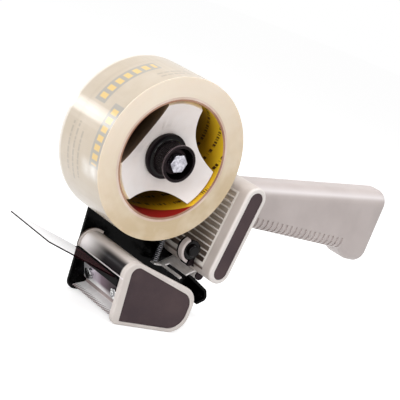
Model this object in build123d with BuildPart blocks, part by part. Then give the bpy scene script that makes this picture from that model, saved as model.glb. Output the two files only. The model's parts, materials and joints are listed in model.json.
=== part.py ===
"""Hand-held carton-sealing tape dispenser with a pistol grip, loaded with a 48 mm roll.

Frame: millimetres, +Z up. The dispenser stands on the flat foot of its head, so z = 0 is the table.
+X runs from the wiper at the front to the end of the grip, and the roll turns about an axis along Y.
The open side, where a roll is slid on, faces -Y, and the steel side plate stands on the +Y side.
The origin is the middle of the box on the table.

Most profiles are drawn in side view on the plane side(d): its x is the distance behind the hub axis,
its y is the height above the hub axis, and d is the distance from the roll's middle towards the open side.
"""

import os
from math import atan2, cos, degrees, radians, sin, sqrt

from build123d import *

os.makedirs("parts", exist_ok=True)

# ---------------------------------------------------------------- driving dimensions
HUB_HEIGHT = 110.0        # hub axis above the table
TAPE_WIDTH = 48.0
ROLL_RADIUS = 53.7        # full roll, 50 m of tape
CORE_BORE_RADIUS = 38.1   # three-inch core
CORE_WALL = 2.8
WIPER_REACH = 66.0        # hub axis to the wiper's front edge
GRIP_REACH = 213.0        # hub axis to the grip's end

# named clearances
RUNNING_FIT = 0.05        # shaft in its bearing, radial
SCREW_GAP = 0.10          # screw shank in its hole, radial
MOVING_GAP = 0.4          # between pieces that move apart
INSERT_GAP = 0.10         # round a panel in its recess
CORE_FIT = 0.15           # core on the hub's lobes, radial
ROLL_GAP = 2.5            # roll to the side plate
CHEEK_GAP = 1.5           # roll's near face to the head's cheek, sideways
WIPER_MARGIN = 1.0        # wiper past each edge of the tape
WHEEL_INSET = 9.2         # roll's near face to the far side of the hold-back wheel
GUIDE_OFF = 4.2           # side plate to the sprung guide

# sheet, walls and hardware
PLATE = 2.0               # steel side plate
CHEEK = 3.5               # near cheek of the head
CHEEK_ROUND = 1.2         # rounding of its outer rim
HOOD_WALL = 2.5           # hood over the front of the head
PANEL = 0.9               # dark trim panels
RECESS = 1.2              # depth of their recesses
SCREW_RADIUS = 2.0
SCREW_HEAD_RADIUS = 4.0
SCREW_HEAD = 2.4
SCREW_DEPTH = 16.0
BOSS_RADIUS = 5.0

# hub, spindle and tension knob, as distances d from the roll's middle towards the open side
HUB_SUNK = 2.0            # rim of the hub's lobes inside the roll's near face
HUB_DISH = 8.4            # depth of the dished face
HUB_BEVEL = 2.2           # chamfer round the outside of the lobes
HUB_WALL = 2.4
SCALLOP_RADIUS = 50.0
SCALLOP_BITE = 22.8       # hub axis to the bottom of a scallop
LOBES = 3
LOBE_ANGLE = 97.0         # first lobe, from +X towards +Z
HUB_FLANGE = 1.4
HUB_FLANGE_RADIUS = 43.0
HUB_BOSS_RADIUS = 11.0
SPINDLE_RADIUS = 5.0
SPINDLE_COLLAR_RADIUS = 9.0
WASHER_RADIUS = 14.0
FRICTION_WASHER = 1.0
KNOB_FLANGE_RADIUS = 14.8
KNOB_FLANGE = 2.5
KNOB_RADIUS = 11.2
KNOB_RING_RADIUS = 12.1
KNOB_RING = 2.0
KNOB_STANDS = 9.5         # knob's end past the rim of the lobes
KNOB_FLOOR = 2.0
KNOB_RECESS_RADIUS = 10.1
KNOB_FLUTES = 36
KNOB_FLUTE_RADIUS = 0.45
BOLT_FLATS = 10.8
BOLT_HEAD = 4.2
BOLT_RADIUS = 3.0
BOLT_LENGTH = 16.0
BOLT_SUNK = 0.6           # bolt head below the knob's end
BOLT_WASHER = 1.0
BOLT_WASHER_RADIUS = 8.2
SPRING_WIRE = 1.3
SPRING_RADIUS = 7.0
SPRING_TURNS = 2.5
NUT_FLATS = 16.0
NUT = 5.0
NUT_WASHER = 1.0
STUD_END = 1.0            # spindle thread showing past the nut

# head: foot, cheek and hood, as points (behind the hub, above the table)
HEAD_FRONT = -2.7
HEAD_REAR = 57.6
HEAD_TOP_REAR = 29.6
HEAD_TOP_FRONT = 45.2
HEAD_BROW = -8.6          # front of the hood
HOOD_LOW = 30.0           # lower edge of the hood
HOOD_FRONT = -6.2
HOOD_REAR = 8.0           # rear edge of the hood's top
FOOT_CORNER = 6.0
REAR_LOW_CORNER = 13.0
REAR_TOP_CORNER = 12.0
BROW_CORNER = 9.0
HOOD_LIP = 1.7
HOOD_LIP_THICK = 1.6
PANEL_FRONT_LOW = 3.2
PANEL_FRONT_TOP = -1.9
PANEL_REAR = 54.4
PANEL_FOOT = 2.7          # panel above the table
PANEL_TOP_REAR = 26.1
PANEL_TOP_FRONT = 41.1
PANEL_LOW_CORNER = 11.5
PANEL_TOP_CORNER = 10.0
PANEL_FRONT_CORNER = 5.0
HEAD_BOSSES = [(24.0, 8.0), (46.0, 13.0)]

# blade and its clamp; the clamp leans back from its top edge
CLAMP_TOP = (1.5, 22.2)
CLAMP_FOOT = (7.0, 10.0)
CLAMP = 1.6
BLADE = 0.8
BLADE_DROP = 4.4          # clamp's foot to the bend of the blade's lip
BLADE_TIP = (1.0, 3.0)
BLADE_MARGIN = 0.6        # each end of the blade to the plate and cheek
TOOTH_PITCH = 2.0
TOOTH_DEPTH = 1.9
TOOTH_FLAT = 0.15         # half the flat left on a tooth's tip
HOLDER = 2.6
BLADE_SCREW_SPREAD = 32.6
BLADE_SCREW_MIDDLE = -0.6
BLADE_SCREW_TAIL = 2.0    # screw past the back of the holder
BLADE_SCREW_FLATS = 7.4
BLADE_SCREW_RADIUS = 1.8
BLADE_SCREW_HEAD = 2.6

# wiper: a flexible leaf in front of the hood
WIPER_ROOT = (-9.6, 29.4)
WIPER_TIP_HEIGHT = 43.8
WIPER = 0.9
WIPER_CORNER = 1.2
WIPER_JOINT_GAP = 0.5
WIPER_SEAT_END = (4.0, 26.0)
WIPER_BAR_FRONT = -6.6
WIPER_BAR_LOW = 23.7

# rollers and their shafts
SHAFT_RADIUS = 3.0
SHAFT_SEAT = 2.0          # depth of a shaft in the cheek
TAPE_ROLLER_AT = (17.5, 27.0)
TAPE_ROLLER_RADIUS = 8.0
ROLLER_BUSH_RADIUS = 5.0

# grip block behind the roll, a leaning bar with a round top and foot
BLOCK_TOP = (73.8, -11.1)  # above the hub axis
BLOCK_FOOT = (68.7, 46.7)  # above the table
BLOCK_RADIUS = 8.6
BLOCK_WALL = 2.6
BLOCK_PANEL_RADIUS = 5.3
SLOT_PITCH = 4.0
SLOT_HEIGHT = 3.1
SLOT_DEPTH = 1.9
SLOT_START = 2.5          # block's upper centre to the first slot
SLOT_MARGIN_FAR = 3.0     # side plate to the slots
SLOT_MARGIN_NEAR = 11.0   # slots to the block's near face
BLOCK_ROUND = 1.8         # rounding of the block's near rim

# grip, as heights above the hub axis
GRIP_WIDTH = 26.0
GRIP_TOP_FRONT = -5.4     # grip's top at the block, above the hub
GRIP_TOP_REAR = 14.6
GRIP_UNDER = -34.5
GRIP_HOOK_BACK = 10.0     # grip's end to the middle of the hook
GRIP_HOOK_SLOPE = 18.5
GRIP_HOOK_WIDTH = 7.5
GRIP_HOOK_LOW = -41.0
GRIP_HOOK_RADIUS = 9.5
GRIP_CROWN = 10.0         # rounding along the top
GRIP_ROUND = 6.2          # rounding along the underside and the end
GRIP_WALL = 3.0
GRIP_CORE = 5.5           # hollow of the grip below its crown
GRIP_RIB_PITCH = 4.7
GRIP_RIB_START = 96.0
GRIP_RIB_GROOVE = 1.8
GRIP_RIB_DEPTH = 0.7
GRIP_RIB_RISE = 9.0       # how far the grooves climb the grip's sides
TANG = 4.0
TANG_HEIGHT = 11.0
TANG_REACH = 150.0
TANG_MIDDLE = -21.5
TANG_CROSS = 3.0          # crosspiece held inside the block
TANG_CROSS_WIDTH = 36.0
GRIP_SCREWS = [102.0, 142.0]
GRIP_BOSS_RADIUS = 6.0

# sprung tape guide under the block, as points (behind the hub, above the table)
FLAP_LOW = (59.5, 30.5)
FLAP_TOP = (69.0, 37.2)
FLAP_PIN = (74.2, 34.6)
FLAP = 1.2
FLAP_SPAN = 26.3
FLAP_ARM = 6.3            # solid end of the guide, beside its window
FLAP_BAR = 1.2            # bar in front of the window
FLAP_WINDOW = 3.6
FLAP_EAR = 6.6            # ear that the spring pulls, ahead of the bar
FLAP_EAR_WIDTH = 4.6
FLAP_PIN_RADIUS = 2.0
FLAP_KNUCKLE_RADIUS = 3.2
PIN_HEAD_RADIUS = 3.4
PIN_HEAD = 1.0
FLAP_STOP = [(56.9, 40.4), (59.6, 39.6), (65.4, 37.0), (57.8, 33.4)]
FLAP_STOP_DEPTH = 6.5
GUIDE_SPRING_AT = 53.9
GUIDE_SPRING_OFF = 6.5    # side plate to the middle of the spring
GUIDE_SPRING_TOP = 50.5
GUIDE_SPRING_RADIUS = 1.9
GUIDE_SPRING_WIRE = 0.6
GUIDE_SPRING_TURNS = 14
SPRING_POST_RADIUS = 1.3
SPRING_POST_LIP = 0.7
SPRING_POST_REACH = 9.7

# hold-back arm and its wheel, in front of the block's slats, as points (behind the hub, above the table)
WHEEL_AT = (48.3, 54.6)
WHEEL_RADIUS = 6.4
WHEEL_CAP_RADIUS = 4.2
WHEEL_CAP = 2.6
WHEEL_THICK = 3.4
AXLE_RADIUS = 1.6
ARM_PIN = (53.3, 45.6)
ARM_PIN_RADIUS = 1.5
ARM_BOSS_RADIUS = 3.2
ARM_THICK = 1.5
GUARD_INNER = 7.2
GUARD_OUTER = 9.2
GUARD_FROM = 128.0        # ends of the guard round the wheel, degrees from +X towards +Z
GUARD_TO = 262.0
BRACKET_THICK = 3.0
ARM_SPRING_ROOM = 2.6     # bracket to arm, filled by the arm's spring
ARM_SPRING_RADIUS = 2.4
ARM_SPRING_WIRE = 0.5
ARM_SPRING_TURNS = 2
ARM_PIN_HEAD_RADIUS = 2.4

# side plate
HUB_PAD_RADIUS = 18.0
HUB_PAD_CORNER = 16.0
PLATE_CORNER = 5.0
HEEL_BEND = 2.5
PLATE_TOP_REAR = (88.0, 2.0)     # above the hub axis
PLATE_SHOULDER = (96.0, -6.0)
PLATE_WAIST = (104.4, 27.2)      # above the table
PLATE_NOTCH = (99.8, 20.4)
PLATE_REAR = 97.0
HEEL_DEPTH = 13.5         # heel flange, towards the open side
HEEL = [(80.0, 29.0), (101.6, 18.8), (104.6, 13.2), (98.6, 9.0)]

# ---------------------------------------------------------------- derived places
PLATE_NEAR = -(TAPE_WIDTH / 2 + ROLL_GAP)
PLATE_FAR = PLATE_NEAR - PLATE
CHEEK_BACK = TAPE_WIDTH / 2 + CHEEK_GAP
CHEEK_FACE = CHEEK_BACK + CHEEK
HUB_FRONT = TAPE_WIDTH / 2 - HUB_SUNK
HUB_CENTRE = HUB_FRONT - HUB_DISH
KNOB_END = HUB_FRONT + KNOB_STANDS
FAR_REACH = -PLATE_FAR + NUT_WASHER + NUT + STUD_END
HUB_X = (WIPER_REACH - GRIP_REACH) / 2
ROLL_Y = (KNOB_END - FAR_REACH) / 2
CORE_RADIUS = CORE_BORE_RADIUS + CORE_WALL
LOBE_RADIUS = CORE_BORE_RADIUS - CORE_FIT


def above_table(*points):
    """Points given above the table, as points above the hub axis."""
    return [(behind, height - HUB_HEIGHT) for behind, height in points]


HEAD_BOSSES = above_table(*HEAD_BOSSES)
CLAMP_TOP, CLAMP_FOOT, BLADE_TIP = above_table(CLAMP_TOP, CLAMP_FOOT, BLADE_TIP)
WIPER_ROOT, WIPER_SEAT_END = above_table(WIPER_ROOT, WIPER_SEAT_END)
WIPER_TIP, WIPER_BAR_FOOT = above_table((-WIPER_REACH, WIPER_TIP_HEIGHT), (WIPER_BAR_FRONT, WIPER_BAR_LOW))
TAPE_ROLLER_AT, BLOCK_FOOT, WHEEL_AT, ARM_PIN = above_table(TAPE_ROLLER_AT, BLOCK_FOOT, WHEEL_AT, ARM_PIN)
FLAP_LOW, FLAP_TOP, FLAP_PIN, *FLAP_STOP = above_table(FLAP_LOW, FLAP_TOP, FLAP_PIN, *FLAP_STOP)
PLATE_WAIST, PLATE_NOTCH, *HEEL = above_table(PLATE_WAIST, PLATE_NOTCH, *HEEL)
(SPRING_TOP,) = above_table((GUIDE_SPRING_AT, GUIDE_SPRING_TOP))
BLOCK_LENGTH = sqrt((BLOCK_TOP[0] - BLOCK_FOOT[0]) ** 2 + (BLOCK_TOP[1] - BLOCK_FOOT[1]) ** 2)
BLOCK_LEAN = degrees(atan2(BLOCK_TOP[1] - BLOCK_FOOT[1], BLOCK_TOP[0] - BLOCK_FOOT[0]))


def side(d):
    """Side-view plane at distance d from the roll's middle towards the open side."""
    return Plane(origin=(HUB_X, ROLL_Y - d, HUB_HEIGHT), x_dir=(1, 0, 0), z_dir=(0, -1, 0))


def between(a, b, share):
    """The point a share of the way from a to b."""
    return (a[0] + (b[0] - a[0]) * share, a[1] + (b[1] - a[1]) * share)


def block_point(along, out):
    """A point by its distance down the block's axis and its distance out towards the grip."""
    lean = radians(BLOCK_LEAN)
    down = (-cos(lean), -sin(lean))
    return (
        BLOCK_TOP[0] + along * down[0] - out * down[1],
        BLOCK_TOP[1] + along * down[1] + out * down[0],
    )


def save(part, name):
    """Label a finished piece and write its STEP file."""
    part.label = name
    export_step(part, f"parts/{name}.step")


# ---------------------------------------------------------------- roll
with BuildPart() as tape_core:
    with BuildSketch(side(-TAPE_WIDTH / 2)):
        Circle(CORE_RADIUS)
        Circle(CORE_BORE_RADIUS, mode=Mode.SUBTRACT)
    extrude(amount=TAPE_WIDTH)
save(tape_core.part, "tape_core")

with BuildPart() as tape_winding:
    with BuildSketch(side(-TAPE_WIDTH / 2)):
        Circle(ROLL_RADIUS)
        Circle(CORE_RADIUS, mode=Mode.SUBTRACT)
    extrude(amount=TAPE_WIDTH)
save(tape_winding.part, "tape_winding")


# ---------------------------------------------------------------- hub
def lobed_profile(inset):
    """The hub's three-lobed outline, moved inwards by inset."""
    Circle(LOBE_RADIUS - inset)
    with PolarLocations(SCALLOP_BITE + SCALLOP_RADIUS, LOBES, start_angle=LOBE_ANGLE + 180 / LOBES):
        Circle(SCALLOP_RADIUS + inset, mode=Mode.SUBTRACT)


HUB_BACK = -TAPE_WIDTH / 2
HUB_SEAT = HUB_BACK - HUB_FLANGE
dish_inner = KNOB_FLANGE_RADIUS + 1
hub_axis = Axis((HUB_X, ROLL_Y, HUB_HEIGHT), (0, 1, 0))
spin_plane = Plane(origin=(HUB_X, ROLL_Y, HUB_HEIGHT), x_dir=(1, 0, 0), z_dir=(0, 0, 1))

with BuildPart() as hub:
    with BuildSketch(side(HUB_BACK)):
        lobed_profile(0)
    extrude(amount=HUB_FRONT - HUB_BACK)
    # hollow behind a dished face
    with BuildSketch(side(HUB_BACK)):
        lobed_profile(HUB_WALL)
    extrude(amount=HUB_CENTRE - HUB_WALL - HUB_BACK, mode=Mode.SUBTRACT)
    with BuildSketch(spin_plane):
        with BuildLine():
            Polyline(
                (0, -HUB_CENTRE),
                (dish_inner, -HUB_CENTRE),
                (LOBE_RADIUS - HUB_BEVEL, -HUB_FRONT),
                (LOBE_RADIUS + HUB_BEVEL, 2 * HUB_BEVEL - HUB_FRONT),
                (LOBE_RADIUS + HUB_BEVEL, -HUB_FRONT - HUB_BEVEL),
                (0, -HUB_FRONT - HUB_BEVEL),
                close=True,
            )
        make_face()
    revolve(axis=hub_axis, mode=Mode.SUBTRACT)
    # boss on the spindle and flange behind the core
    with BuildSketch(side(HUB_SEAT)):
        Circle(HUB_BOSS_RADIUS)
    extrude(amount=HUB_CENTRE - HUB_WALL / 2 - HUB_SEAT)
    with BuildSketch(side(HUB_SEAT)):
        Circle(HUB_FLANGE_RADIUS)
    extrude(amount=HUB_FLANGE)
    with BuildSketch(side(HUB_SEAT)):
        Circle(SPINDLE_RADIUS + RUNNING_FIT)
    extrude(amount=HUB_CENTRE - HUB_SEAT, mode=Mode.SUBTRACT)
save(hub.part, "hub")


# ---------------------------------------------------------------- spindle and tension knob
WASHER_BACK = HUB_CENTRE + MOVING_GAP
KNOB_BACK = WASHER_BACK + FRICTION_WASHER
KNOB_RECESS_FLOOR = KNOB_BACK + KNOB_FLANGE + KNOB_FLOOR
BOLT_HEAD_TOP = KNOB_END - BOLT_SUNK
BOLT_SEAT = BOLT_HEAD_TOP - BOLT_HEAD
SPINDLE_END = BOLT_SEAT - BOLT_WASHER
SPINDLE_FAR = -FAR_REACH


def disc(d, radius, thick, bore=0.0, at=(0, 0), mode=Mode.ADD):
    """A round plate or washer at a side-view point, from d towards the open side, in the current part."""
    with BuildSketch(side(d)) as ring:
        with Locations(at):
            Circle(radius)
            if bore:
                Circle(bore, mode=Mode.SUBTRACT)
    extrude(ring.sketch, amount=thick, mode=mode)


with BuildPart() as spindle:
    disc(SPINDLE_FAR, SPINDLE_RADIUS, SPINDLE_END - SPINDLE_FAR)
    disc(PLATE_NEAR, SPINDLE_COLLAR_RADIUS, ROLL_GAP - HUB_FLANGE - MOVING_GAP)
    with BuildSketch(side(SPINDLE_END)):
        Circle(BOLT_RADIUS + SCREW_GAP)
    extrude(amount=-BOLT_LENGTH - BOLT_WASHER, mode=Mode.SUBTRACT)
save(spindle.part, "spindle")

with BuildPart() as spindle_washer:
    disc(PLATE_FAR - NUT_WASHER, WASHER_RADIUS, NUT_WASHER, SPINDLE_RADIUS + SCREW_GAP)
save(spindle_washer.part, "spindle_washer")

with BuildPart() as spindle_nut:
    with BuildSketch(side(PLATE_FAR - NUT_WASHER - NUT)):
        RegularPolygon(NUT_FLATS / 2, 6, major_radius=False)
        Circle(SPINDLE_RADIUS + SCREW_GAP, mode=Mode.SUBTRACT)
    extrude(amount=NUT)
save(spindle_nut.part, "spindle_nut")

with BuildPart() as friction_washer:
    disc(WASHER_BACK, WASHER_RADIUS, FRICTION_WASHER, SPINDLE_RADIUS + RUNNING_FIT)
save(friction_washer.part, "friction_washer")

with BuildPart() as tension_knob:
    disc(KNOB_BACK, KNOB_FLANGE_RADIUS, KNOB_FLANGE)
    disc(KNOB_BACK + KNOB_FLANGE, KNOB_RADIUS, KNOB_END - KNOB_BACK - KNOB_FLANGE)
    with BuildSketch(side(KNOB_BACK + KNOB_FLANGE)):
        with PolarLocations(KNOB_RADIUS, KNOB_FLUTES):
            Circle(KNOB_FLUTE_RADIUS, mode=Mode.ADD)
    extrude(amount=KNOB_END - KNOB_BACK - KNOB_FLANGE)
    disc(KNOB_END - KNOB_RING, KNOB_RING_RADIUS, KNOB_RING)
    with BuildSketch(side(KNOB_RECESS_FLOOR)):
        Circle(KNOB_RECESS_RADIUS)
    extrude(amount=KNOB_END - KNOB_RECESS_FLOOR, mode=Mode.SUBTRACT)
    with BuildSketch(side(KNOB_BACK)):
        Circle(SPINDLE_RADIUS + RUNNING_FIT)
    extrude(amount=KNOB_END - KNOB_BACK, mode=Mode.SUBTRACT)
save(tension_knob.part, "tension_knob")

with BuildPart() as hub_bolt:
    with BuildSketch(side(BOLT_SEAT)):
        RegularPolygon(BOLT_FLATS / 2, 6, major_radius=False, rotation=15)
    extrude(amount=BOLT_HEAD)
    with BuildSketch(side(BOLT_SEAT)):
        Circle(BOLT_RADIUS)
    extrude(amount=-BOLT_LENGTH)
save(hub_bolt.part, "hub_bolt")

with BuildPart() as bolt_washer:
    disc(SPINDLE_END, BOLT_WASHER_RADIUS, BOLT_WASHER, BOLT_RADIUS + SCREW_GAP)
save(bolt_washer.part, "bolt_washer")


def coil(plane, radius, height, turns, wire):
    """A coil of round wire standing on a plane, added to the current part."""
    with BuildLine() as path:
        Helix(pitch=height / turns, height=height, radius=radius, center=plane.origin, direction=plane.z_dir)
    with BuildSketch(Plane(origin=path.line @ 0, z_dir=path.line % 0)) as section:
        Circle(wire / 2)
    sweep(section.sketch, path=path.line)


SPRING_FOOT = KNOB_RECESS_FLOOR + MOVING_GAP + SPRING_WIRE / 2
SPRING_ROOM = SPINDLE_END - SPRING_FOOT - SPRING_WIRE / 2 - SCREW_GAP
with BuildPart() as tension_spring:
    coil(side(SPRING_FOOT), SPRING_RADIUS, SPRING_ROOM, SPRING_TURNS, SPRING_WIRE)
save(tension_spring.part, "tension_spring")


# ---------------------------------------------------------------- side plate
def bore_row(points, radius, d, length):
    """Cut round holes at side-view points out of the current part, from d towards the open side."""
    with BuildSketch(side(d)) as holes:
        with Locations(*points):
            Circle(radius)
    extrude(holes.sketch, amount=length, mode=Mode.SUBTRACT)


# the tang's crosspiece stands between the block's first two bosses
TANG_ALONG = (BLOCK_TOP[1] - TANG_MIDDLE) / sin(radians(BLOCK_LEAN))
MIDDLE_BOSS = TANG_ALONG + TANG_HEIGHT / 2 + BOSS_RADIUS + BLOCK_WALL
BLOCK_BOSSES = [block_point(along, 0) for along in (0, MIDDLE_BOSS, BLOCK_LENGTH)]
SIDE_SCREWS = HEAD_BOSSES + BLOCK_BOSSES
PLATE_SHAFTS = [TAPE_ROLLER_AT]
PLATE_PINS = [FLAP_PIN]


def rounded_outline(points, radii):
    """A closed side-view outline with its corners rounded; a radius of 0 leaves a corner sharp."""
    with BuildSketch(mode=Mode.PRIVATE) as outline:
        Polygon(*points, align=None)
        for point, radius in zip(points, radii):
            if radius:
                fillet(outline.vertices().sort_by_distance(Vector(*point))[0], radius)
    return outline.sketch


PLATE_OUTLINE = rounded_outline(
    [
        (HEAD_FRONT, -HUB_HEIGHT),
        (HEAD_BROW, -HUB_HEIGHT / 2),
        (-HUB_PAD_RADIUS, HUB_PAD_RADIUS),
        (HUB_PAD_RADIUS, HUB_PAD_RADIUS),
        PLATE_TOP_REAR,
        PLATE_SHOULDER,
        PLATE_WAIST,
        PLATE_NOTCH,
        *HEEL[1:],
        (PLATE_REAR, -HUB_HEIGHT),
    ],
    [FOOT_CORNER, 0]
    + [HUB_PAD_CORNER] * 2
    + [PLATE_CORNER] * 2
    + [0, 0, 0, HEEL_BEND, 0, FOOT_CORNER],
)
with BuildPart() as side_plate:
    with BuildSketch(side(PLATE_FAR)):
        add(PLATE_OUTLINE)
    extrude(amount=PLATE)
    # flange bent in at the heel
    with BuildSketch(side(PLATE_NEAR)):
        with BuildLine():
            FilletPolyline(*HEEL, radius=HEEL_BEND)
            offset(amount=PLATE / 2, side=Side.BOTH)
        make_face()
    extrude(amount=HEEL_DEPTH)
    bore_row(SIDE_SCREWS, SCREW_RADIUS + SCREW_GAP, PLATE_FAR, PLATE)
    bore_row([(0, 0)], SPINDLE_RADIUS + SCREW_GAP, PLATE_FAR, PLATE)
    bore_row(PLATE_SHAFTS, SHAFT_RADIUS + SCREW_GAP, PLATE_FAR, PLATE)
    bore_row(PLATE_PINS, FLAP_PIN_RADIUS + SCREW_GAP, PLATE_FAR, PLATE)
save(side_plate.part, "side_plate")


# ---------------------------------------------------------------- head
HEAD_OUTLINE = rounded_outline(
    above_table(
        (HEAD_FRONT, 0),
        (HEAD_REAR, 0),
        (HEAD_REAR, HEAD_TOP_REAR),
        (HEAD_BROW, HEAD_TOP_FRONT),
        (HOOD_FRONT, HOOD_LOW),
    ),
    [FOOT_CORNER, REAR_LOW_CORNER, REAR_TOP_CORNER, BROW_CORNER, 0],
)
PANEL_OUTLINE = rounded_outline(
    above_table(
        (PANEL_FRONT_LOW, PANEL_FOOT),
        (PANEL_REAR, PANEL_FOOT),
        (PANEL_REAR, PANEL_TOP_REAR),
        (PANEL_FRONT_TOP, PANEL_TOP_FRONT),
    ),
    [0, PANEL_LOW_CORNER, PANEL_TOP_CORNER, PANEL_FRONT_CORNER],
)
HOOD_SPAN = CHEEK_BACK - PLATE_NEAR - MOVING_GAP
HOOD_FAR = CHEEK_BACK - HOOD_SPAN


def hood_window():
    """Keep only the hood's stretch of the current sketch: above its lower edge, ahead of its rear edge."""
    reach = HOOD_REAR - HEAD_BROW + 2 * HOOD_LIP
    drop = HUB_HEIGHT - HOOD_LOW
    with Locations((HOOD_REAR - reach / 2, -drop / 2)):
        Rectangle(reach, drop, mode=Mode.INTERSECT)


with BuildPart() as head_shell:
    with BuildSketch(side(CHEEK_BACK)):
        add(HEAD_OUTLINE)
    extrude(amount=CHEEK)
    fillet(head_shell.faces().sort_by(Axis.Y)[0].edges(), CHEEK_ROUND)
    # hood over the front, from the cheek to the side plate
    with BuildSketch(side(HOOD_FAR)):
        add(HEAD_OUTLINE)
        offset(HEAD_OUTLINE, amount=-HOOD_WALL, mode=Mode.SUBTRACT)
        hood_window()
    extrude(amount=HOOD_SPAN)
    # lip round the hood's far end
    with BuildSketch(side(HOOD_FAR)):
        offset(HEAD_OUTLINE, amount=HOOD_LIP)
        offset(HEAD_OUTLINE, amount=-HOOD_WALL, mode=Mode.SUBTRACT)
        hood_window()
    extrude(amount=HOOD_LIP_THICK)
    # bosses for the screws through the side plate
    with BuildSketch(side(PLATE_NEAR)):
        with Locations(*HEAD_BOSSES):
            Circle(BOSS_RADIUS)
    extrude(amount=CHEEK_BACK - PLATE_NEAR)
    bore_row(HEAD_BOSSES, SCREW_RADIUS + SCREW_GAP, PLATE_NEAR, SCREW_DEPTH)
    # seat of the roller's shaft, and recess of the panel
    bore_row([TAPE_ROLLER_AT], SHAFT_RADIUS + SCREW_GAP, CHEEK_BACK, SHAFT_SEAT)
    with BuildSketch(side(CHEEK_FACE - RECESS)):
        offset(PANEL_OUTLINE, amount=INSERT_GAP)
    extrude(amount=RECESS, mode=Mode.SUBTRACT)
save(head_shell.part, "head_shell")

with BuildPart() as head_panel:
    with BuildSketch(side(CHEEK_FACE - RECESS)):
        add(PANEL_OUTLINE)
    extrude(amount=PANEL)
save(head_panel.part, "head_panel")


# ---------------------------------------------------------------- grip block
def stadium(radius):
    """The block's leaning outline, round at both ends, in side view."""
    middle = block_point(BLOCK_LENGTH / 2, 0)
    with BuildSketch(mode=Mode.PRIVATE) as outline:
        with Locations(Location(middle, BLOCK_LEAN)):
            SlotCenterToCenter(BLOCK_LENGTH, 2 * radius)
    return outline.sketch


def tang_profile(gap):
    """The tang's bar in side view, from inside the block into the grip, with a gap round it."""
    front = BLOCK_TOP[0] - BLOCK_WALL
    with Locations(((front + TANG_REACH) / 2, TANG_MIDDLE)):
        Rectangle(TANG_REACH - front + 2 * gap, TANG_HEIGHT + 2 * gap)


SLOT_FAR = PLATE_NEAR + SLOT_MARGIN_FAR
SLOT_NEAR = CHEEK_FACE - SLOT_MARGIN_NEAR
SLOTS = round((BLOCK_LENGTH - SLOT_START) / SLOT_PITCH) + 1
with BuildPart() as grip_block:
    with BuildSketch(side(PLATE_NEAR)):
        add(stadium(BLOCK_RADIUS))
    extrude(amount=CHEEK_FACE - PLATE_NEAR)
    fillet(grip_block.faces().sort_by(Axis.Y)[0].edges(), BLOCK_ROUND)
    with BuildSketch(side(PLATE_NEAR)):
        add(stadium(BLOCK_RADIUS - BLOCK_WALL))
    extrude(amount=CHEEK_FACE - PLATE_NEAR - RECESS - BLOCK_WALL, mode=Mode.SUBTRACT)
    # screw bosses
    with BuildSketch(side(PLATE_NEAR)):
        with Locations(*BLOCK_BOSSES):
            Circle(BOSS_RADIUS)
    extrude(amount=CHEEK_FACE - PLATE_NEAR - RECESS - BLOCK_WALL)
    bore_row(BLOCK_BOSSES, SCREW_RADIUS + SCREW_GAP, PLATE_NEAR, SCREW_DEPTH)
    # slats across the face that looks at the roll
    for slot in range(SLOTS):
        along = SLOT_START + slot * SLOT_PITCH
        with BuildSketch(side(SLOT_FAR)):
            with Locations(Location(block_point(along, SLOT_DEPTH / 2 - BLOCK_RADIUS), BLOCK_LEAN)):
                Rectangle(SLOT_HEIGHT, SLOT_DEPTH)
        extrude(amount=SLOT_NEAR - SLOT_FAR, mode=Mode.SUBTRACT)
    # mouth for the grip's tang
    with BuildSketch(side(-TANG / 2 - SCREW_GAP)):
        tang_profile(SCREW_GAP)
    extrude(amount=TANG + 2 * SCREW_GAP, mode=Mode.SUBTRACT)
    # recess of the panel
    with BuildSketch(side(CHEEK_FACE - RECESS)):
        add(stadium(BLOCK_PANEL_RADIUS + INSERT_GAP))
    extrude(amount=RECESS, mode=Mode.SUBTRACT)
save(grip_block.part, "grip_block")

with BuildPart() as block_panel:
    with BuildSketch(side(CHEEK_FACE - RECESS)):
        add(stadium(BLOCK_PANEL_RADIUS))
    extrude(amount=PANEL)
save(block_panel.part, "block_panel")

# ---------------------------------------------------------------- grip
GRIP_BACK = -GRIP_WIDTH / 2
HOOK_AT = GRIP_REACH - GRIP_HOOK_BACK
GRIP_RIBS = int((HOOK_AT - GRIP_HOOK_SLOPE - GRIP_RIB_START) / GRIP_RIB_PITCH) + 1
GRIP_OUTLINE = rounded_outline(
    [
        (BLOCK_TOP[0], GRIP_UNDER),
        (HOOK_AT - GRIP_HOOK_SLOPE, GRIP_UNDER),
        (HOOK_AT - GRIP_HOOK_WIDTH, GRIP_HOOK_LOW),
        (GRIP_REACH, GRIP_HOOK_LOW),
        (GRIP_REACH, GRIP_TOP_REAR),
        (BLOCK_TOP[0], GRIP_TOP_FRONT),
    ],
    [0, GRIP_HOOK_SLOPE / 3, GRIP_HOOK_RADIUS, GRIP_HOOK_RADIUS, 0, 0],
)
TANG_POINTS = [(at, TANG_MIDDLE) for at in GRIP_SCREWS]


def block_cut(radius, d, length):
    """Cut the current part back to the block's outline, from d towards the open side."""
    extrude(side(d) * stadium(radius), amount=length, mode=Mode.SUBTRACT)


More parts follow.
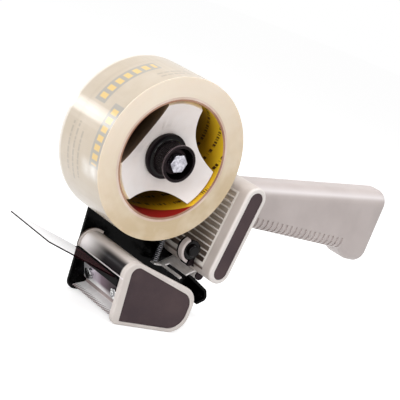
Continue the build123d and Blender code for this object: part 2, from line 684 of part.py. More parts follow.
with BuildPart() as grip:
    with BuildSketch(side(GRIP_BACK)):
        add(GRIP_OUTLINE)
    extrude(amount=GRIP_WIDTH)
    fillet(grip.faces().sort_by(Axis.Z)[-1].edges().filter_by(Axis.Y, reverse=True), GRIP_CROWN)
    # the end's upper edge runs on smoothly along both sides of the end and the underside
    fillet(grip.faces().sort_by(Axis.X)[-1].edges().sort_by(Axis.Z)[-1], GRIP_ROUND)
    block_cut(BLOCK_RADIUS, GRIP_BACK, GRIP_WIDTH)
    with BuildSketch(side(GRIP_BACK + GRIP_WALL)):
        offset(GRIP_OUTLINE, amount=-GRIP_CORE)
        add(stadium(BLOCK_RADIUS + GRIP_WALL), mode=Mode.SUBTRACT)
    extrude(amount=GRIP_WIDTH - 2 * GRIP_WALL, mode=Mode.SUBTRACT)
    # bosses and holes of the screws from the far side
    with BuildSketch(side(GRIP_BACK + GRIP_WALL)):
        with Locations(*TANG_POINTS):
            Circle(GRIP_BOSS_RADIUS)
    extrude(amount=-GRIP_BACK - GRIP_WALL - TANG / 2)
    bore_row(TANG_POINTS, SCREW_RADIUS + SCREW_GAP, GRIP_BACK, GRIP_WIDTH / 2)
    bore_row(TANG_POINTS, SCREW_HEAD_RADIUS + SCREW_GAP, GRIP_BACK, SCREW_HEAD)
    # mouth for the tang
    with BuildSketch(side(-TANG / 2 - SCREW_GAP)):
        tang_profile(SCREW_GAP)
    extrude(amount=TANG + 2 * SCREW_GAP, mode=Mode.SUBTRACT)
    # ribs under the fingers
    for rib in range(GRIP_RIBS):
        with BuildSketch(Plane.YZ.offset(HUB_X + GRIP_RIB_START + rib * GRIP_RIB_PITCH)):
            with Locations((ROLL_Y, HUB_HEIGHT + GRIP_UNDER)):
                Rectangle(GRIP_WIDTH, 2 * GRIP_RIB_RISE)
            with Locations((ROLL_Y, HUB_HEIGHT + GRIP_UNDER + GRIP_WIDTH / 2 + GRIP_RIB_DEPTH)):
                RectangleRounded(
                    GRIP_WIDTH - 2 * GRIP_RIB_DEPTH,
                    GRIP_WIDTH,
                    GRIP_ROUND - GRIP_RIB_DEPTH,
                    mode=Mode.SUBTRACT,
                )
        extrude(amount=GRIP_RIB_GROOVE, mode=Mode.SUBTRACT)
save(grip.part, "grip")

with BuildPart() as grip_tang:
    with BuildSketch(side(-TANG / 2)):
        tang_profile(0)
    extrude(amount=TANG)
    with BuildSketch(side(-TANG_CROSS_WIDTH / 2)):
        cross_out = BLOCK_RADIUS - BLOCK_WALL - TANG_CROSS / 2
        with Locations(Location(block_point(TANG_ALONG, cross_out), BLOCK_LEAN)):
            Rectangle(TANG_HEIGHT, TANG_CROSS)
    extrude(amount=TANG_CROSS_WIDTH)
    bore_row(TANG_POINTS, SCREW_RADIUS + SCREW_GAP, -TANG / 2, TANG)
save(grip_tang.part, "grip_tang")


# ---------------------------------------------------------------- screws through the far side
def pan_screws(points, seat, length):
    """Pan-head screws driven from the far side, with their heads seated at distance seat."""
    for point in points:
        disc(seat - SCREW_HEAD, SCREW_HEAD_RADIUS, SCREW_HEAD, at=point)
        disc(seat, SCREW_RADIUS, length, at=point)


with BuildPart() as head_screws:
    pan_screws(HEAD_BOSSES, PLATE_FAR, PLATE + SCREW_DEPTH - MOVING_GAP)
save(head_screws.part, "head_screws")

with BuildPart() as block_screws:
    pan_screws(BLOCK_BOSSES, PLATE_FAR, PLATE + SCREW_DEPTH - MOVING_GAP)
save(block_screws.part, "block_screws")

with BuildPart() as grip_screws:
    pan_screws(TANG_POINTS, GRIP_BACK + SCREW_HEAD, GRIP_WIDTH / 2 + TANG / 2 - SCREW_HEAD)
save(grip_screws.part, "grip_screws")


# ---------------------------------------------------------------- blade
CLAMP_LENGTH = sqrt((CLAMP_FOOT[0] - CLAMP_TOP[0]) ** 2 + (CLAMP_FOOT[1] - CLAMP_TOP[1]) ** 2)
CLAMP_LEAN = degrees(atan2(CLAMP_FOOT[1] - CLAMP_TOP[1], CLAMP_FOOT[0] - CLAMP_TOP[0]))
HEAD_SPAN = CHEEK_BACK - PLATE_NEAR
BLADE_FAR = PLATE_NEAR + BLADE_MARGIN
BLADE_SPAN = HEAD_SPAN - 2 * BLADE_MARGIN


def clamp_point(down, back):
    """A point by its distance down from the clamp's top edge and its distance behind the clamp's face."""
    lean = radians(CLAMP_LEAN)
    return (
        CLAMP_TOP[0] + down * cos(lean) - back * sin(lean),
        CLAMP_TOP[1] + down * sin(lean) + back * cos(lean),
    )


def clamp_slab(back, thick):
    """A slab as tall as the clamp, at a distance behind the clamp's face."""
    with Locations(Location(clamp_point(CLAMP_LENGTH / 2, back + thick / 2), CLAMP_LEAN)):
        Rectangle(CLAMP_LENGTH, thick)


def clamp_plane(d, back):
    """Plane of the clamp's face, moved back, at the clamp's middle height and distance d."""
    face = clamp_point(CLAMP_LENGTH / 2, back)
    lean = radians(CLAMP_LEAN)
    return Plane(
        origin=(HUB_X + face[0], ROLL_Y - d, HUB_HEIGHT + face[1]),
        x_dir=(0, 1, 0),
        z_dir=(sin(lean), 0, -cos(lean)),
    )


def blade_screw_holes():
    """Cut the two screws' holes through the current part of the blade assembly."""
    for screw in (-0.5, 0.5):
        with BuildSketch(clamp_plane(BLADE_SCREW_MIDDLE + screw * BLADE_SCREW_SPREAD, 0)) as hole:
            Circle(BLADE_SCREW_RADIUS + SCREW_GAP)
        extrude(hole.sketch, amount=CLAMP + BLADE + HOLDER, both=True, mode=Mode.SUBTRACT)


with BuildPart() as blade_clamp:
    with BuildSketch(side(BLADE_FAR)):
        clamp_slab(0, CLAMP)
    extrude(amount=BLADE_SPAN)
    blade_screw_holes()
save(blade_clamp.part, "blade_clamp")

BLADE_BACK = CLAMP + BLADE / 2
BLADE_BEND = clamp_point(CLAMP_LENGTH + BLADE_DROP, BLADE_BACK)
BLADE_LIP = degrees(atan2(BLADE_TIP[1] - BLADE_BEND[1], BLADE_TIP[0] - BLADE_BEND[0]))
TEETH = int(BLADE_SPAN / TOOTH_PITCH)
tooth_plane = Plane(
    origin=(HUB_X + BLADE_TIP[0], ROLL_Y - BLADE_FAR - BLADE_SPAN / 2, HUB_HEIGHT + BLADE_TIP[1]),
    x_dir=(0, 1, 0),
    z_dir=(-sin(radians(BLADE_LIP)), 0, cos(radians(BLADE_LIP))),
)
with BuildPart() as blade:
    with BuildSketch(side(BLADE_FAR)):
        with BuildLine():
            FilletPolyline(clamp_point(0, BLADE_BACK), BLADE_BEND, BLADE_TIP, radius=2 * BLADE)
            offset(amount=BLADE / 2, side=Side.BOTH)
        make_face()
    extrude(amount=BLADE_SPAN)
    blade_screw_holes()
    with BuildSketch(tooth_plane):
        with GridLocations(TOOTH_PITCH, TOOTH_PITCH, TEETH, 1):
            gullet = TOOTH_PITCH / 2 - TOOTH_FLAT
            Polygon(
                (-gullet, -BLADE), (gullet, -BLADE), (gullet, 0), (0, TOOTH_DEPTH), (-gullet, 0), align=None
            )
    extrude(amount=2 * BLADE, both=True, mode=Mode.SUBTRACT)
save(blade.part, "blade")

with BuildPart() as blade_holder:
    with BuildSketch(side(PLATE_NEAR)):
        clamp_slab(CLAMP + BLADE, HOLDER)
    extrude(amount=HEAD_SPAN)
    blade_screw_holes()
save(blade_holder.part, "blade_holder")

with BuildPart() as blade_screws:
    for screw in (-0.5, 0.5):
        screw_at = BLADE_SCREW_MIDDLE + screw * BLADE_SCREW_SPREAD
        with BuildSketch(clamp_plane(screw_at, 0)) as screw_head:
            RegularPolygon(BLADE_SCREW_FLATS / 2, 6, major_radius=False, rotation=15)
        extrude(screw_head.sketch, amount=BLADE_SCREW_HEAD)
        with BuildSketch(clamp_plane(screw_at, 0)) as screw_shank:
            Circle(BLADE_SCREW_RADIUS)
        extrude(screw_shank.sketch, amount=-(CLAMP + BLADE + HOLDER + BLADE_SCREW_TAIL))
save(blade_screws.part, "blade_screws")


# ---------------------------------------------------------------- wiper
WIPER_RISE = degrees(atan2(WIPER_TIP[1] - WIPER_ROOT[1], WIPER_ROOT[0] - WIPER_TIP[0]))
wiper_run = WIPER_ROOT[0] - WIPER_TIP[0] - WIPER / 2 * sin(radians(WIPER_RISE))
WIPER_LENGTH = wiper_run / cos(radians(WIPER_RISE))
WIPER_NEAR = TAPE_WIDTH / 2 + WIPER_MARGIN
wiper_plane = Plane(
    origin=(HUB_X + WIPER_ROOT[0], ROLL_Y, HUB_HEIGHT + WIPER_ROOT[1]),
    x_dir=(-cos(radians(WIPER_RISE)), 0, sin(radians(WIPER_RISE))),
    z_dir=(sin(radians(WIPER_RISE)), 0, cos(radians(WIPER_RISE))),
)
with BuildPart() as wiper:
    with BuildSketch(wiper_plane.offset(-WIPER / 2)) as leaf:
        with Locations((WIPER_LENGTH / 2, 0)):
            Rectangle(WIPER_LENGTH, 2 * WIPER_NEAR)
        fillet(leaf.vertices().group_by(Axis.X)[-1], WIPER_CORNER)
    extrude(amount=WIPER)
save(wiper.part, "wiper")

seat_share = WIPER_JOINT_GAP / (WIPER_SEAT_END[0] - WIPER_ROOT[0])
WIPER_SEAT_FRONT = between(WIPER_ROOT, WIPER_SEAT_END, seat_share)
with BuildPart() as wiper_seat:
    with BuildSketch(side(-WIPER_NEAR)):
        Polygon(
            (WIPER_SEAT_FRONT[0], WIPER_SEAT_FRONT[1] + WIPER / 2),
            (WIPER_SEAT_END[0], WIPER_SEAT_END[1] + WIPER / 2),
            (WIPER_SEAT_END[0], WIPER_SEAT_END[1] - WIPER / 2),
            (WIPER_SEAT_FRONT[0], WIPER_SEAT_FRONT[1] - WIPER / 2),
            align=None,
        )
    extrude(amount=2 * WIPER_NEAR)
save(wiper_seat.part, "wiper_seat")

bar_share = (WIPER_BAR_FOOT[0] - WIPER_SEAT_FRONT[0]) / (WIPER_SEAT_END[0] - WIPER_SEAT_FRONT[0])
bar_top_front = between(WIPER_SEAT_FRONT, WIPER_SEAT_END, bar_share)
with BuildPart() as wiper_bar:
    with BuildSketch(side(PLATE_NEAR)):
        Polygon(
            (WIPER_BAR_FOOT[0], bar_top_front[1] - WIPER / 2),
            (WIPER_SEAT_END[0], WIPER_SEAT_END[1] - WIPER / 2),
            (WIPER_SEAT_END[0], WIPER_BAR_FOOT[1]),
            WIPER_BAR_FOOT,
            align=None,
        )
    extrude(amount=HEAD_SPAN)
save(wiper_bar.part, "wiper_bar")


# ---------------------------------------------------------------- tape roller
ROLLER_FAR = PLATE_NEAR + MOVING_GAP
ROLLER_SPAN = HEAD_SPAN - 2 * MOVING_GAP
with BuildPart() as roller_shaft:
    disc(PLATE_FAR - PIN_HEAD, SHAFT_RADIUS + PIN_HEAD, PIN_HEAD, at=TAPE_ROLLER_AT)
    disc(PLATE_FAR, SHAFT_RADIUS, CHEEK_BACK + SHAFT_SEAT - PLATE_FAR, at=TAPE_ROLLER_AT)
save(roller_shaft.part, "roller_shaft")

with BuildPart() as roller_bush:
    disc(ROLLER_FAR, ROLLER_BUSH_RADIUS, ROLLER_SPAN, SHAFT_RADIUS + RUNNING_FIT, at=TAPE_ROLLER_AT)
save(roller_bush.part, "roller_bush")

with BuildPart() as tape_roller:
    disc(ROLLER_FAR, TAPE_ROLLER_RADIUS, ROLLER_SPAN, ROLLER_BUSH_RADIUS, at=TAPE_ROLLER_AT)
save(tape_roller.part, "tape_roller")


# ---------------------------------------------------------------- sprung tape guide
FLAP_LEAN = degrees(atan2(FLAP_TOP[1] - FLAP_LOW[1], FLAP_TOP[0] - FLAP_LOW[0]))
FLAP_FAR = PLATE_NEAR + GUIDE_OFF
FLAP_NEAR = FLAP_FAR + FLAP_SPAN
flap_plane = Plane(
    origin=(HUB_X + FLAP_LOW[0], ROLL_Y - FLAP_FAR, HUB_HEIGHT + FLAP_LOW[1]),
    x_dir=(cos(radians(FLAP_LEAN)), 0, sin(radians(FLAP_LEAN))),
    z_dir=(-sin(radians(FLAP_LEAN)), 0, cos(radians(FLAP_LEAN))),
)
flap_knuckle_top = (FLAP_PIN[0], FLAP_PIN[1] + FLAP_KNUCKLE_RADIUS - FLAP / 2)
flap_crest = (FLAP_TOP[0], FLAP_TOP[1] - FLAP / 2)
ear_end = (FLAP_LOW[0] - FLAP_EAR, FLAP_LOW[1] - FLAP / 2)


def sheet_run(d, width, points):
    """A strip of the guide's sheet along side-view points, added to the current part."""
    with BuildSketch(side(d)) as run:
        with BuildLine():
            Polyline(*points)
            offset(amount=FLAP / 2, side=Side.BOTH)
        make_face()
    extrude(run.sketch, amount=width)


with BuildPart() as tape_guide:
    sheet_run(FLAP_FAR, FLAP_SPAN, [(FLAP_LOW[0], FLAP_LOW[1] - FLAP / 2), flap_crest, flap_knuckle_top])
    sheet_run(FLAP_FAR, FLAP_EAR_WIDTH, [ear_end, (FLAP_LOW[0], ear_end[1])])
    # window, open at the near end
    with BuildSketch(flap_plane):
        window_near = FLAP_SPAN - FLAP_ARM
        with Locations((FLAP_BAR + FLAP_WINDOW / 2, -FLAP_ARM - window_near / 2)):
            Rectangle(FLAP_WINDOW, window_near)
    extrude(amount=2 * FLAP, both=True, mode=Mode.SUBTRACT)
    disc(FLAP_FAR, FLAP_KNUCKLE_RADIUS, FLAP_SPAN, at=FLAP_PIN)
    bore_row([FLAP_PIN], FLAP_PIN_RADIUS + RUNNING_FIT, FLAP_FAR, FLAP_SPAN)
save(tape_guide.part, "tape_guide")

with BuildPart() as guide_pin:
    disc(PLATE_FAR - PIN_HEAD, PIN_HEAD_RADIUS, PIN_HEAD, at=FLAP_PIN)
    disc(PLATE_FAR, FLAP_PIN_RADIUS, FLAP_NEAR + MOVING_GAP - PLATE_FAR, at=FLAP_PIN)
    disc(PLATE_NEAR, PIN_HEAD_RADIUS, FLAP_FAR - MOVING_GAP - PLATE_NEAR, at=FLAP_PIN)
    disc(FLAP_NEAR + MOVING_GAP, PIN_HEAD_RADIUS, PIN_HEAD, at=FLAP_PIN)
save(guide_pin.part, "guide_pin")

with BuildPart() as guide_stop:
    with BuildSketch(side(PLATE_NEAR)):
        Polygon(*FLAP_STOP, align=None)
    extrude(amount=FLAP_STOP_DEPTH)
save(guide_stop.part, "guide_stop")

GUIDE_SPRING_FOOT = FLAP_LOW[1] + MOVING_GAP + GUIDE_SPRING_WIRE / 2
guide_spring_plane = Plane(
    origin=(HUB_X + SPRING_TOP[0], ROLL_Y - PLATE_NEAR - GUIDE_SPRING_OFF, HUB_HEIGHT + GUIDE_SPRING_FOOT),
    x_dir=(1, 0, 0),
    z_dir=(0, 0, 1),
)
with BuildPart() as guide_spring:
    coil(
        guide_spring_plane,
        GUIDE_SPRING_RADIUS,
        SPRING_TOP[1] - GUIDE_SPRING_FOOT,
        GUIDE_SPRING_TURNS,
        GUIDE_SPRING_WIRE,
    )
save(guide_spring.part, "guide_spring")

post_at = (SPRING_TOP[0], SPRING_TOP[1] + GUIDE_SPRING_WIRE / 2 + SCREW_GAP + SPRING_POST_RADIUS)
with BuildPart() as spring_post:
    disc(PLATE_NEAR, SPRING_POST_RADIUS, SPRING_POST_REACH, at=post_at)
    post_lip = PLATE_NEAR + SPRING_POST_REACH - PIN_HEAD
    disc(post_lip, SPRING_POST_RADIUS + SPRING_POST_LIP, PIN_HEAD, at=post_at)
save(spring_post.part, "spring_post")


# ---------------------------------------------------------------- hold-back arm and wheel
WHEEL_FAR = TAPE_WIDTH / 2 - WHEEL_INSET
ARM_FAR = WHEEL_FAR - MOVING_GAP - ARM_THICK
ARM_NEAR = ARM_FAR + ARM_THICK
BRACKET_NEAR = ARM_FAR - ARM_SPRING_ROOM
BRACKET_FAR = BRACKET_NEAR - BRACKET_THICK
WHEEL_NEAR = WHEEL_FAR + WHEEL_THICK


def guard_sector():
    """Keep only the guard's sector of the current sketch."""
    reach = 2 * GUARD_OUTER
    rim = []
    for share in (0, 1 / 3, 2 / 3, 1):
        angle = radians(GUARD_FROM + share * (GUARD_TO - GUARD_FROM))
        rim.append((WHEEL_AT[0] + reach * cos(angle), WHEEL_AT[1] + reach * sin(angle)))
    Polygon(WHEEL_AT, *rim, align=None, mode=Mode.INTERSECT)


with BuildPart() as wheel_bracket:
    with BuildSketch(side(BRACKET_FAR)):
        with Locations(ARM_PIN):
            Circle(ARM_BOSS_RADIUS)
        with Locations(BLOCK_FOOT):
            Circle(BLOCK_RADIUS - BLOCK_WALL)
        make_hull()
        add(stadium(BLOCK_RADIUS), mode=Mode.SUBTRACT)
    extrude(amount=BRACKET_THICK)
    bore_row([ARM_PIN], ARM_PIN_RADIUS + SCREW_GAP, BRACKET_FAR, BRACKET_THICK)
save(wheel_bracket.part, "wheel_bracket")

with BuildPart() as arm_pin:
    disc(BRACKET_FAR, ARM_PIN_RADIUS, ARM_NEAR + MOVING_GAP - BRACKET_FAR, at=ARM_PIN)
    disc(ARM_NEAR + MOVING_GAP, ARM_PIN_HEAD_RADIUS, PIN_HEAD, at=ARM_PIN)
save(arm_pin.part, "arm_pin")

with BuildPart() as arm_spring:
    spring_end = MOVING_GAP + ARM_SPRING_WIRE / 2
    spring_start = side(BRACKET_NEAR + spring_end).from_local_coords((*ARM_PIN, 0))
    spring_seat = Plane(origin=spring_start, x_dir=(1, 0, 0), z_dir=(0, -1, 0))
    coil(spring_seat, ARM_SPRING_RADIUS, ARM_SPRING_ROOM - 2 * spring_end, ARM_SPRING_TURNS, ARM_SPRING_WIRE)
save(arm_spring.part, "arm_spring")

with BuildPart() as hold_back_arm:
    with BuildSketch(side(ARM_FAR)):
        with Locations(ARM_PIN, WHEEL_AT):
            Circle(ARM_BOSS_RADIUS)
        make_hull()
    extrude(amount=ARM_THICK)
    with BuildSketch(side(ARM_FAR)):
        with Locations(WHEEL_AT):
            Circle(GUARD_OUTER)
        guard_sector()
    extrude(amount=ARM_THICK)
    disc(ARM_NEAR, AXLE_RADIUS, WHEEL_NEAR - MOVING_GAP - ARM_NEAR, at=WHEEL_AT)
    bore_row([ARM_PIN], ARM_PIN_RADIUS + RUNNING_FIT, ARM_FAR, ARM_THICK)
save(hold_back_arm.part, "hold_back_arm")

with BuildPart() as wheel_guard:
    with BuildSketch(side(ARM_NEAR)):
        with Locations(WHEEL_AT):
            Circle(GUARD_OUTER)
            Circle(GUARD_INNER, mode=Mode.SUBTRACT)
        guard_sector()
    extrude(amount=WHEEL_NEAR + MOVING_GAP - ARM_NEAR)
save(wheel_guard.part, "wheel_guard")

with BuildPart() as hold_back_wheel:
    disc(WHEEL_FAR, WHEEL_RADIUS, WHEEL_THICK, AXLE_RADIUS + RUNNING_FIT, at=WHEEL_AT)
save(hold_back_wheel.part, "hold_back_wheel")

with BuildPart() as wheel_cap:
    disc(WHEEL_NEAR, WHEEL_CAP_RADIUS, WHEEL_CAP, at=WHEEL_AT)
    fillet(wheel_cap.edges().sort_by(Axis.Y)[0], WHEEL_CAP / 2)
save(wheel_cap.part, "wheel_cap")
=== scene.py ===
# %% [markdown]
# # A tape dispenser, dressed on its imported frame
# The dispenser holds a roll of carton tape on a lobed hub. A steel plate carries the hub, a moulded head
# with a toothed blade, and a pistol grip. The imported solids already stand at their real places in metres,
# so every new piece is built round a box or an outline that is read from them, and rides on the same body.

import json
from math import cos, degrees, pi, radians, sin

import bmesh
import bpy
from mathutils import Matrix, Vector


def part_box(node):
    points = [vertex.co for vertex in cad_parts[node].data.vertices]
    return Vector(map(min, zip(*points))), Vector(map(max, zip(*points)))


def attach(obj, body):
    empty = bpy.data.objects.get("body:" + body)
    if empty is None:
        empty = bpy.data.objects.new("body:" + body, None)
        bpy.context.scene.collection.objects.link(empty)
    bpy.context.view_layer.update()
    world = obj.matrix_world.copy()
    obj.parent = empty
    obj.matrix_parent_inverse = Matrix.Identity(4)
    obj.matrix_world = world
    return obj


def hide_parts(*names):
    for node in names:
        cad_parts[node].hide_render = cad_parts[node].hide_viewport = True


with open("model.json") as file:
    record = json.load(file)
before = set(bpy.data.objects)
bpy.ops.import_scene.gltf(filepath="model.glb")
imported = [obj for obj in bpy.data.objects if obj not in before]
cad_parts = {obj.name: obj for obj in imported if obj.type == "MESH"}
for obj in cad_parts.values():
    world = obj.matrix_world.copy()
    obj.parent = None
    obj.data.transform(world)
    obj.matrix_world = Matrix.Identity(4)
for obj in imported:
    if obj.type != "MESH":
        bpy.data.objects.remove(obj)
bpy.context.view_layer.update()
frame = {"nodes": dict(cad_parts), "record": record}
MM = 0.001
roll_low, roll_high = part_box("tape_winding")
HUB = (roll_low + roll_high) / 2
print("nodes", len(frame["nodes"]), "hub axis at", [round(v, 4) for v in HUB])

# %% [markdown]
# ## Camera
# The view is from the front left, a little above, through a long lens. The camera is also rolled, as when
# somebody tips the picture to set the roll of tape upright on the page. Three axis vectors give that turn
# in full.

# %% Camera
CAMERA_AT = Vector((-0.5824, -0.6415, 0.2301))
CAMERA_RIGHT = Vector((0.73783, -0.56488, 0.36948))
CAMERA_UP = Vector((-0.17809, 0.36508, 0.91379))
camera = bpy.data.objects.new("camera", bpy.data.cameras.new("camera"))
bpy.context.scene.collection.objects.link(camera)
camera_turn = Matrix((CAMERA_RIGHT, CAMERA_UP, CAMERA_RIGHT.cross(CAMERA_UP))).transposed().to_4x4()
camera.matrix_world = Matrix.Translation(CAMERA_AT) @ camera_turn
camera.data.lens = 118.09
camera.data.sensor_width = 36.0
camera.data.clip_start = 0.01
bpy.context.scene.camera = camera
bpy.context.scene.view_settings.view_transform = "Standard"
print("camera to hub", round((CAMERA_AT - HUB).length, 3))


# %% [markdown]
# ## Nodes and colours
# Every finish and every repeated shape is a node tree. One function turns hex colours to the linear numbers
# that a shader wants, and one adds a node, sets it and links it.

# %% Helpers for node trees
def linear(hex_colour):
    """An sRGB hex colour as linear RGBA."""
    parts = [int(hex_colour[i : i + 2], 16) / 255 for i in (1, 3, 5)]
    return (*(c / 12.92 if c <= 0.04045 else ((c + 0.055) / 1.055) ** 2.4 for c in parts), 1.0)


def add_node(tree, kind, inputs=None, stops=(), onto=None, **settings):
    """Add a node. An input is a value or a socket to link from, stops fill a ramp, onto takes the output."""
    made = tree.nodes.new(kind)
    for name, value in settings.items():
        setattr(made, name, value)
    for count, (position, colour) in enumerate(stops):
        stop = made.color_ramp.elements[count] if count < 2 else made.color_ramp.elements.new(position)
        stop.position, stop.color = position, linear(colour)
    for name, value in (inputs or {}).items():
        if isinstance(value, bpy.types.NodeSocket):
            tree.links.new(value, made.inputs[name])
        else:
            made.inputs[name].default_value = value
    if onto is not None:
        tree.links.new(made.outputs[0], onto)
    return made


def new_material(name):
    """A material, its node tree, and the socket that takes its shader."""
    material = bpy.data.materials.new(name)
    material.use_nodes = True
    tree = material.node_tree
    tree.nodes.clear()
    return material, tree, add_node(tree, "ShaderNodeOutputMaterial").inputs["Surface"]


# %% [markdown]
# ## Light
# A pack shot is lit by large soft boxes, so that plastic shows long gentle gradients and no hard shadow.
# The world gives a plain level from all sides. One box stands over the object, two face its front and its
# open side, and small ones give the bright streak along the film and the glint on the knob. The camera,
# glossy surfaces and clear ones see plain white beyond the object.

# %% World
def seen_directly(tree):
    """1 for rays from the camera, off a gloss or through a clear part, and 0 for the rest."""
    path = add_node(tree, "ShaderNodeLightPath").outputs
    seen = add_node(tree, "ShaderNodeMath", {0: path["Is Camera Ray"], 1: path["Is Glossy Ray"]},
                    operation="MAXIMUM").outputs[0]
    return add_node(tree, "ShaderNodeMath", {0: seen, 1: path["Is Transmission Ray"]},
                    operation="MAXIMUM").outputs[0]


FILL_LEVEL = 0.5
world = bpy.data.worlds.new("studio")
bpy.context.scene.world = world
world.use_nodes = True
tree = world.node_tree
tree.nodes.clear()
level = add_node(tree, "ShaderNodeMapRange", {"Value": seen_directly(tree), "To Min": FILL_LEVEL})
sky = add_node(tree, "ShaderNodeBackground", {"Color": linear("#ffffff"), "Strength": level.outputs[0]})
add_node(tree, "ShaderNodeOutputWorld", {"Surface": sky.outputs[0]})
print("fill level", FILL_LEVEL)

# %% Lamps
# each faces the hub: its direction and distance from there, its width and height in metres, and its watts
for name, way, far, size, power in (
    ("top_box", (0.1, 0.1, 1.0), 1.1, (1.0, 0.8), 7.2),
    ("front_box", (-0.75, -0.8, 0.85), 0.55, (0.3, 0.3), 0.88),
    ("streak_box", (-0.576, 0.807, 0.13), 1.2, (0.2, 0.2), 2.0),
    ("low_front_box", (-1.0, -0.4, 0.15), 0.8, (0.3, 0.3), 1.7),
    ("knob_glint", (0.37, -0.41, 0.84), 0.6, (0.03, 0.03), 0.45),
):
    lamp = bpy.data.lights.new(name, "AREA")
    lamp.shape = "RECTANGLE"
    lamp.size, lamp.size_y = size
    lamp.energy = power
    holder = bpy.data.objects.new(name, lamp)
    bpy.context.scene.collection.objects.link(holder)
    holder.location = HUB + Vector(way).normalized() * far
    holder.rotation_euler = (HUB - holder.location).to_track_quat("-Z", "Y").to_euler()

# %% [markdown]
# ## Floor
# A sheet of white paper lies under the object. It catches the object's soft shadow. Its own faint glow
# lifts the lit paper to white for the camera and for reflections, and gives no light to the object.

# %% Floor
FLOOR_REACH = 6.0
FLOOR_DROP = 0.2 * MM    # so that the paper and the foot do not share a plane
PAPER_GLOW = 0.62
floor_mesh = bpy.data.meshes.new("floor")
corners = [(x * FLOOR_REACH, y * FLOOR_REACH, 0.0) for x, y in ((-1, -1), (1, -1), (1, 1), (-1, 1))]
floor_mesh.from_pydata(corners, [], [(0, 1, 2, 3)])
floor = bpy.data.objects.new("floor", floor_mesh)
floor.location.z = -FLOOR_DROP
bpy.context.scene.collection.objects.link(floor)
white_paper, tree, surface = new_material("white_paper_sweep")
paper = add_node(tree, "ShaderNodeBsdfDiffuse", {"Color": linear("#dedede")})
glow = add_node(tree, "ShaderNodeEmission", {"Color": linear("#ffffff"), "Strength": PAPER_GLOW})
both = add_node(tree, "ShaderNodeAddShader", {0: paper.outputs[0], 1: glow.outputs[0]})
add_node(tree, "ShaderNodeMixShader", {0: seen_directly(tree), 1: paper.outputs[0], 2: both.outputs[0]},
         onto=surface)
floor_mesh.materials.append(white_paper)
print("floor reaches", FLOOR_REACH, "m each way")


# %% [markdown]
# ## Moulded plastics
# The mouldings are ABS: opaque, slightly soft in gloss, with a fine grain that the spark-eroded mould
# leaves. A flat colour would look like paper, so two near tones are mottled together, and a fine noise
# lifts the surface and varies the gloss. The grain is drawn at about half a millimetre, coarser than the
# real one, so it shows.

# %% Moulded plastics
ABS_IOR = 1.52


def mottled(tree, place, noise, shade, colour):
    """A cloudy noise, and the colour that it picks between two near tones."""
    cloud = add_node(tree, "ShaderNodeTexNoise", {"Vector": place, **noise}).outputs["Fac"]
    tone = add_node(tree, "ShaderNodeValToRGB", {"Fac": cloud}, [(0.35, shade), (0.65, colour)])
    return cloud, tone.outputs[0]


def grained(tree, place, scale, strength, distance=0.2 * MM, detail=2.0):
    """A fine noise, and the bump that it gives a surface."""
    grain = add_node(tree, "ShaderNodeTexNoise", {"Vector": place, "Scale": scale, "Detail": detail})
    bump = add_node(tree, "ShaderNodeBump", {
        "Height": grain.outputs["Fac"], "Strength": strength, "Distance": distance})
    return grain.outputs["Fac"], bump.outputs[0]


def moulded(name, colour, shade, roughness, grain_mm, depth, gloss=0.5):
    """A moulding: two near tones, a grain of the mould's skin, and its gloss."""
    material, tree, surface = new_material(name)
    place = add_node(tree, "ShaderNodeTexCoord").outputs["Object"]
    tone = mottled(tree, place, {"Scale": 45.0, "Detail": 4.0}, shade, colour)[1]
    grain, bump = grained(tree, place, 1 / (grain_mm * MM), depth)
    rough = add_node(tree, "ShaderNodeMapRange", {
        "Value": grain, "To Min": roughness - 0.05, "To Max": roughness + 0.08})
    add_node(tree, "ShaderNodeBsdfPrincipled", {
        "Base Color": tone, "Roughness": rough.outputs[0], "IOR": ABS_IOR, "Specular IOR Level": gloss,
        "Normal": bump}, onto=surface)
    return material


pale_abs = moulded("pale_moulded_abs", "#c4b9b6", "#bbb0ad", 0.42, 0.5, 0.25)
panel_abs = moulded("brown_grained_panel_abs", "#4b3b3d", "#3d2f33", 0.5, 0.45, 0.8, gloss=0.2)
black_abs = moulded("black_moulded_abs", "#0a0708", "#060405", 0.3, 0.6, 0.15, gloss=0.06)
knob_abs = moulded("glossy_black_knob_abs", "#0b0708", "#060405", 0.1, 0.9, 0.05, gloss=0.12)
# lighter knurl ridges: a painted highlight for their glints
knurl_highlight_abs = moulded("knob_knurl_painted_highlight_abs", "#6e5f63", "#5a4b50", 0.3, 0.4, 0.2, gloss=0.4)
ring_abs = moulded("worn_brown_black_knob_ring", "#1f1619", "#161012", 0.3, 0.4, 0.5, gloss=0.06)
nylon = moulded("natural_nylon", "#dcd8cd", "#cfcabe", 0.4, 0.8, 0.1)
rubber = moulded("black_rubber", "#232122", "#181617", 0.75, 0.6, 0.5)
felt = moulded("grey_pressed_felt", "#4e4a45", "#38342f", 0.95, 0.25, 1.0, gloss=0.1)
print("mouldings done")

# %% [markdown]
# ## Plated and enamelled steel
# Small steel parts are zinc plated, which leaves a bright, slightly mottled skin. Ground and brushed parts
# show fine lines along the grinding, so the same noise is drawn out along one axis. The guide's satin plate
# has a low metallic value, so that it stays bright on every side. Metals keep their default IOR.

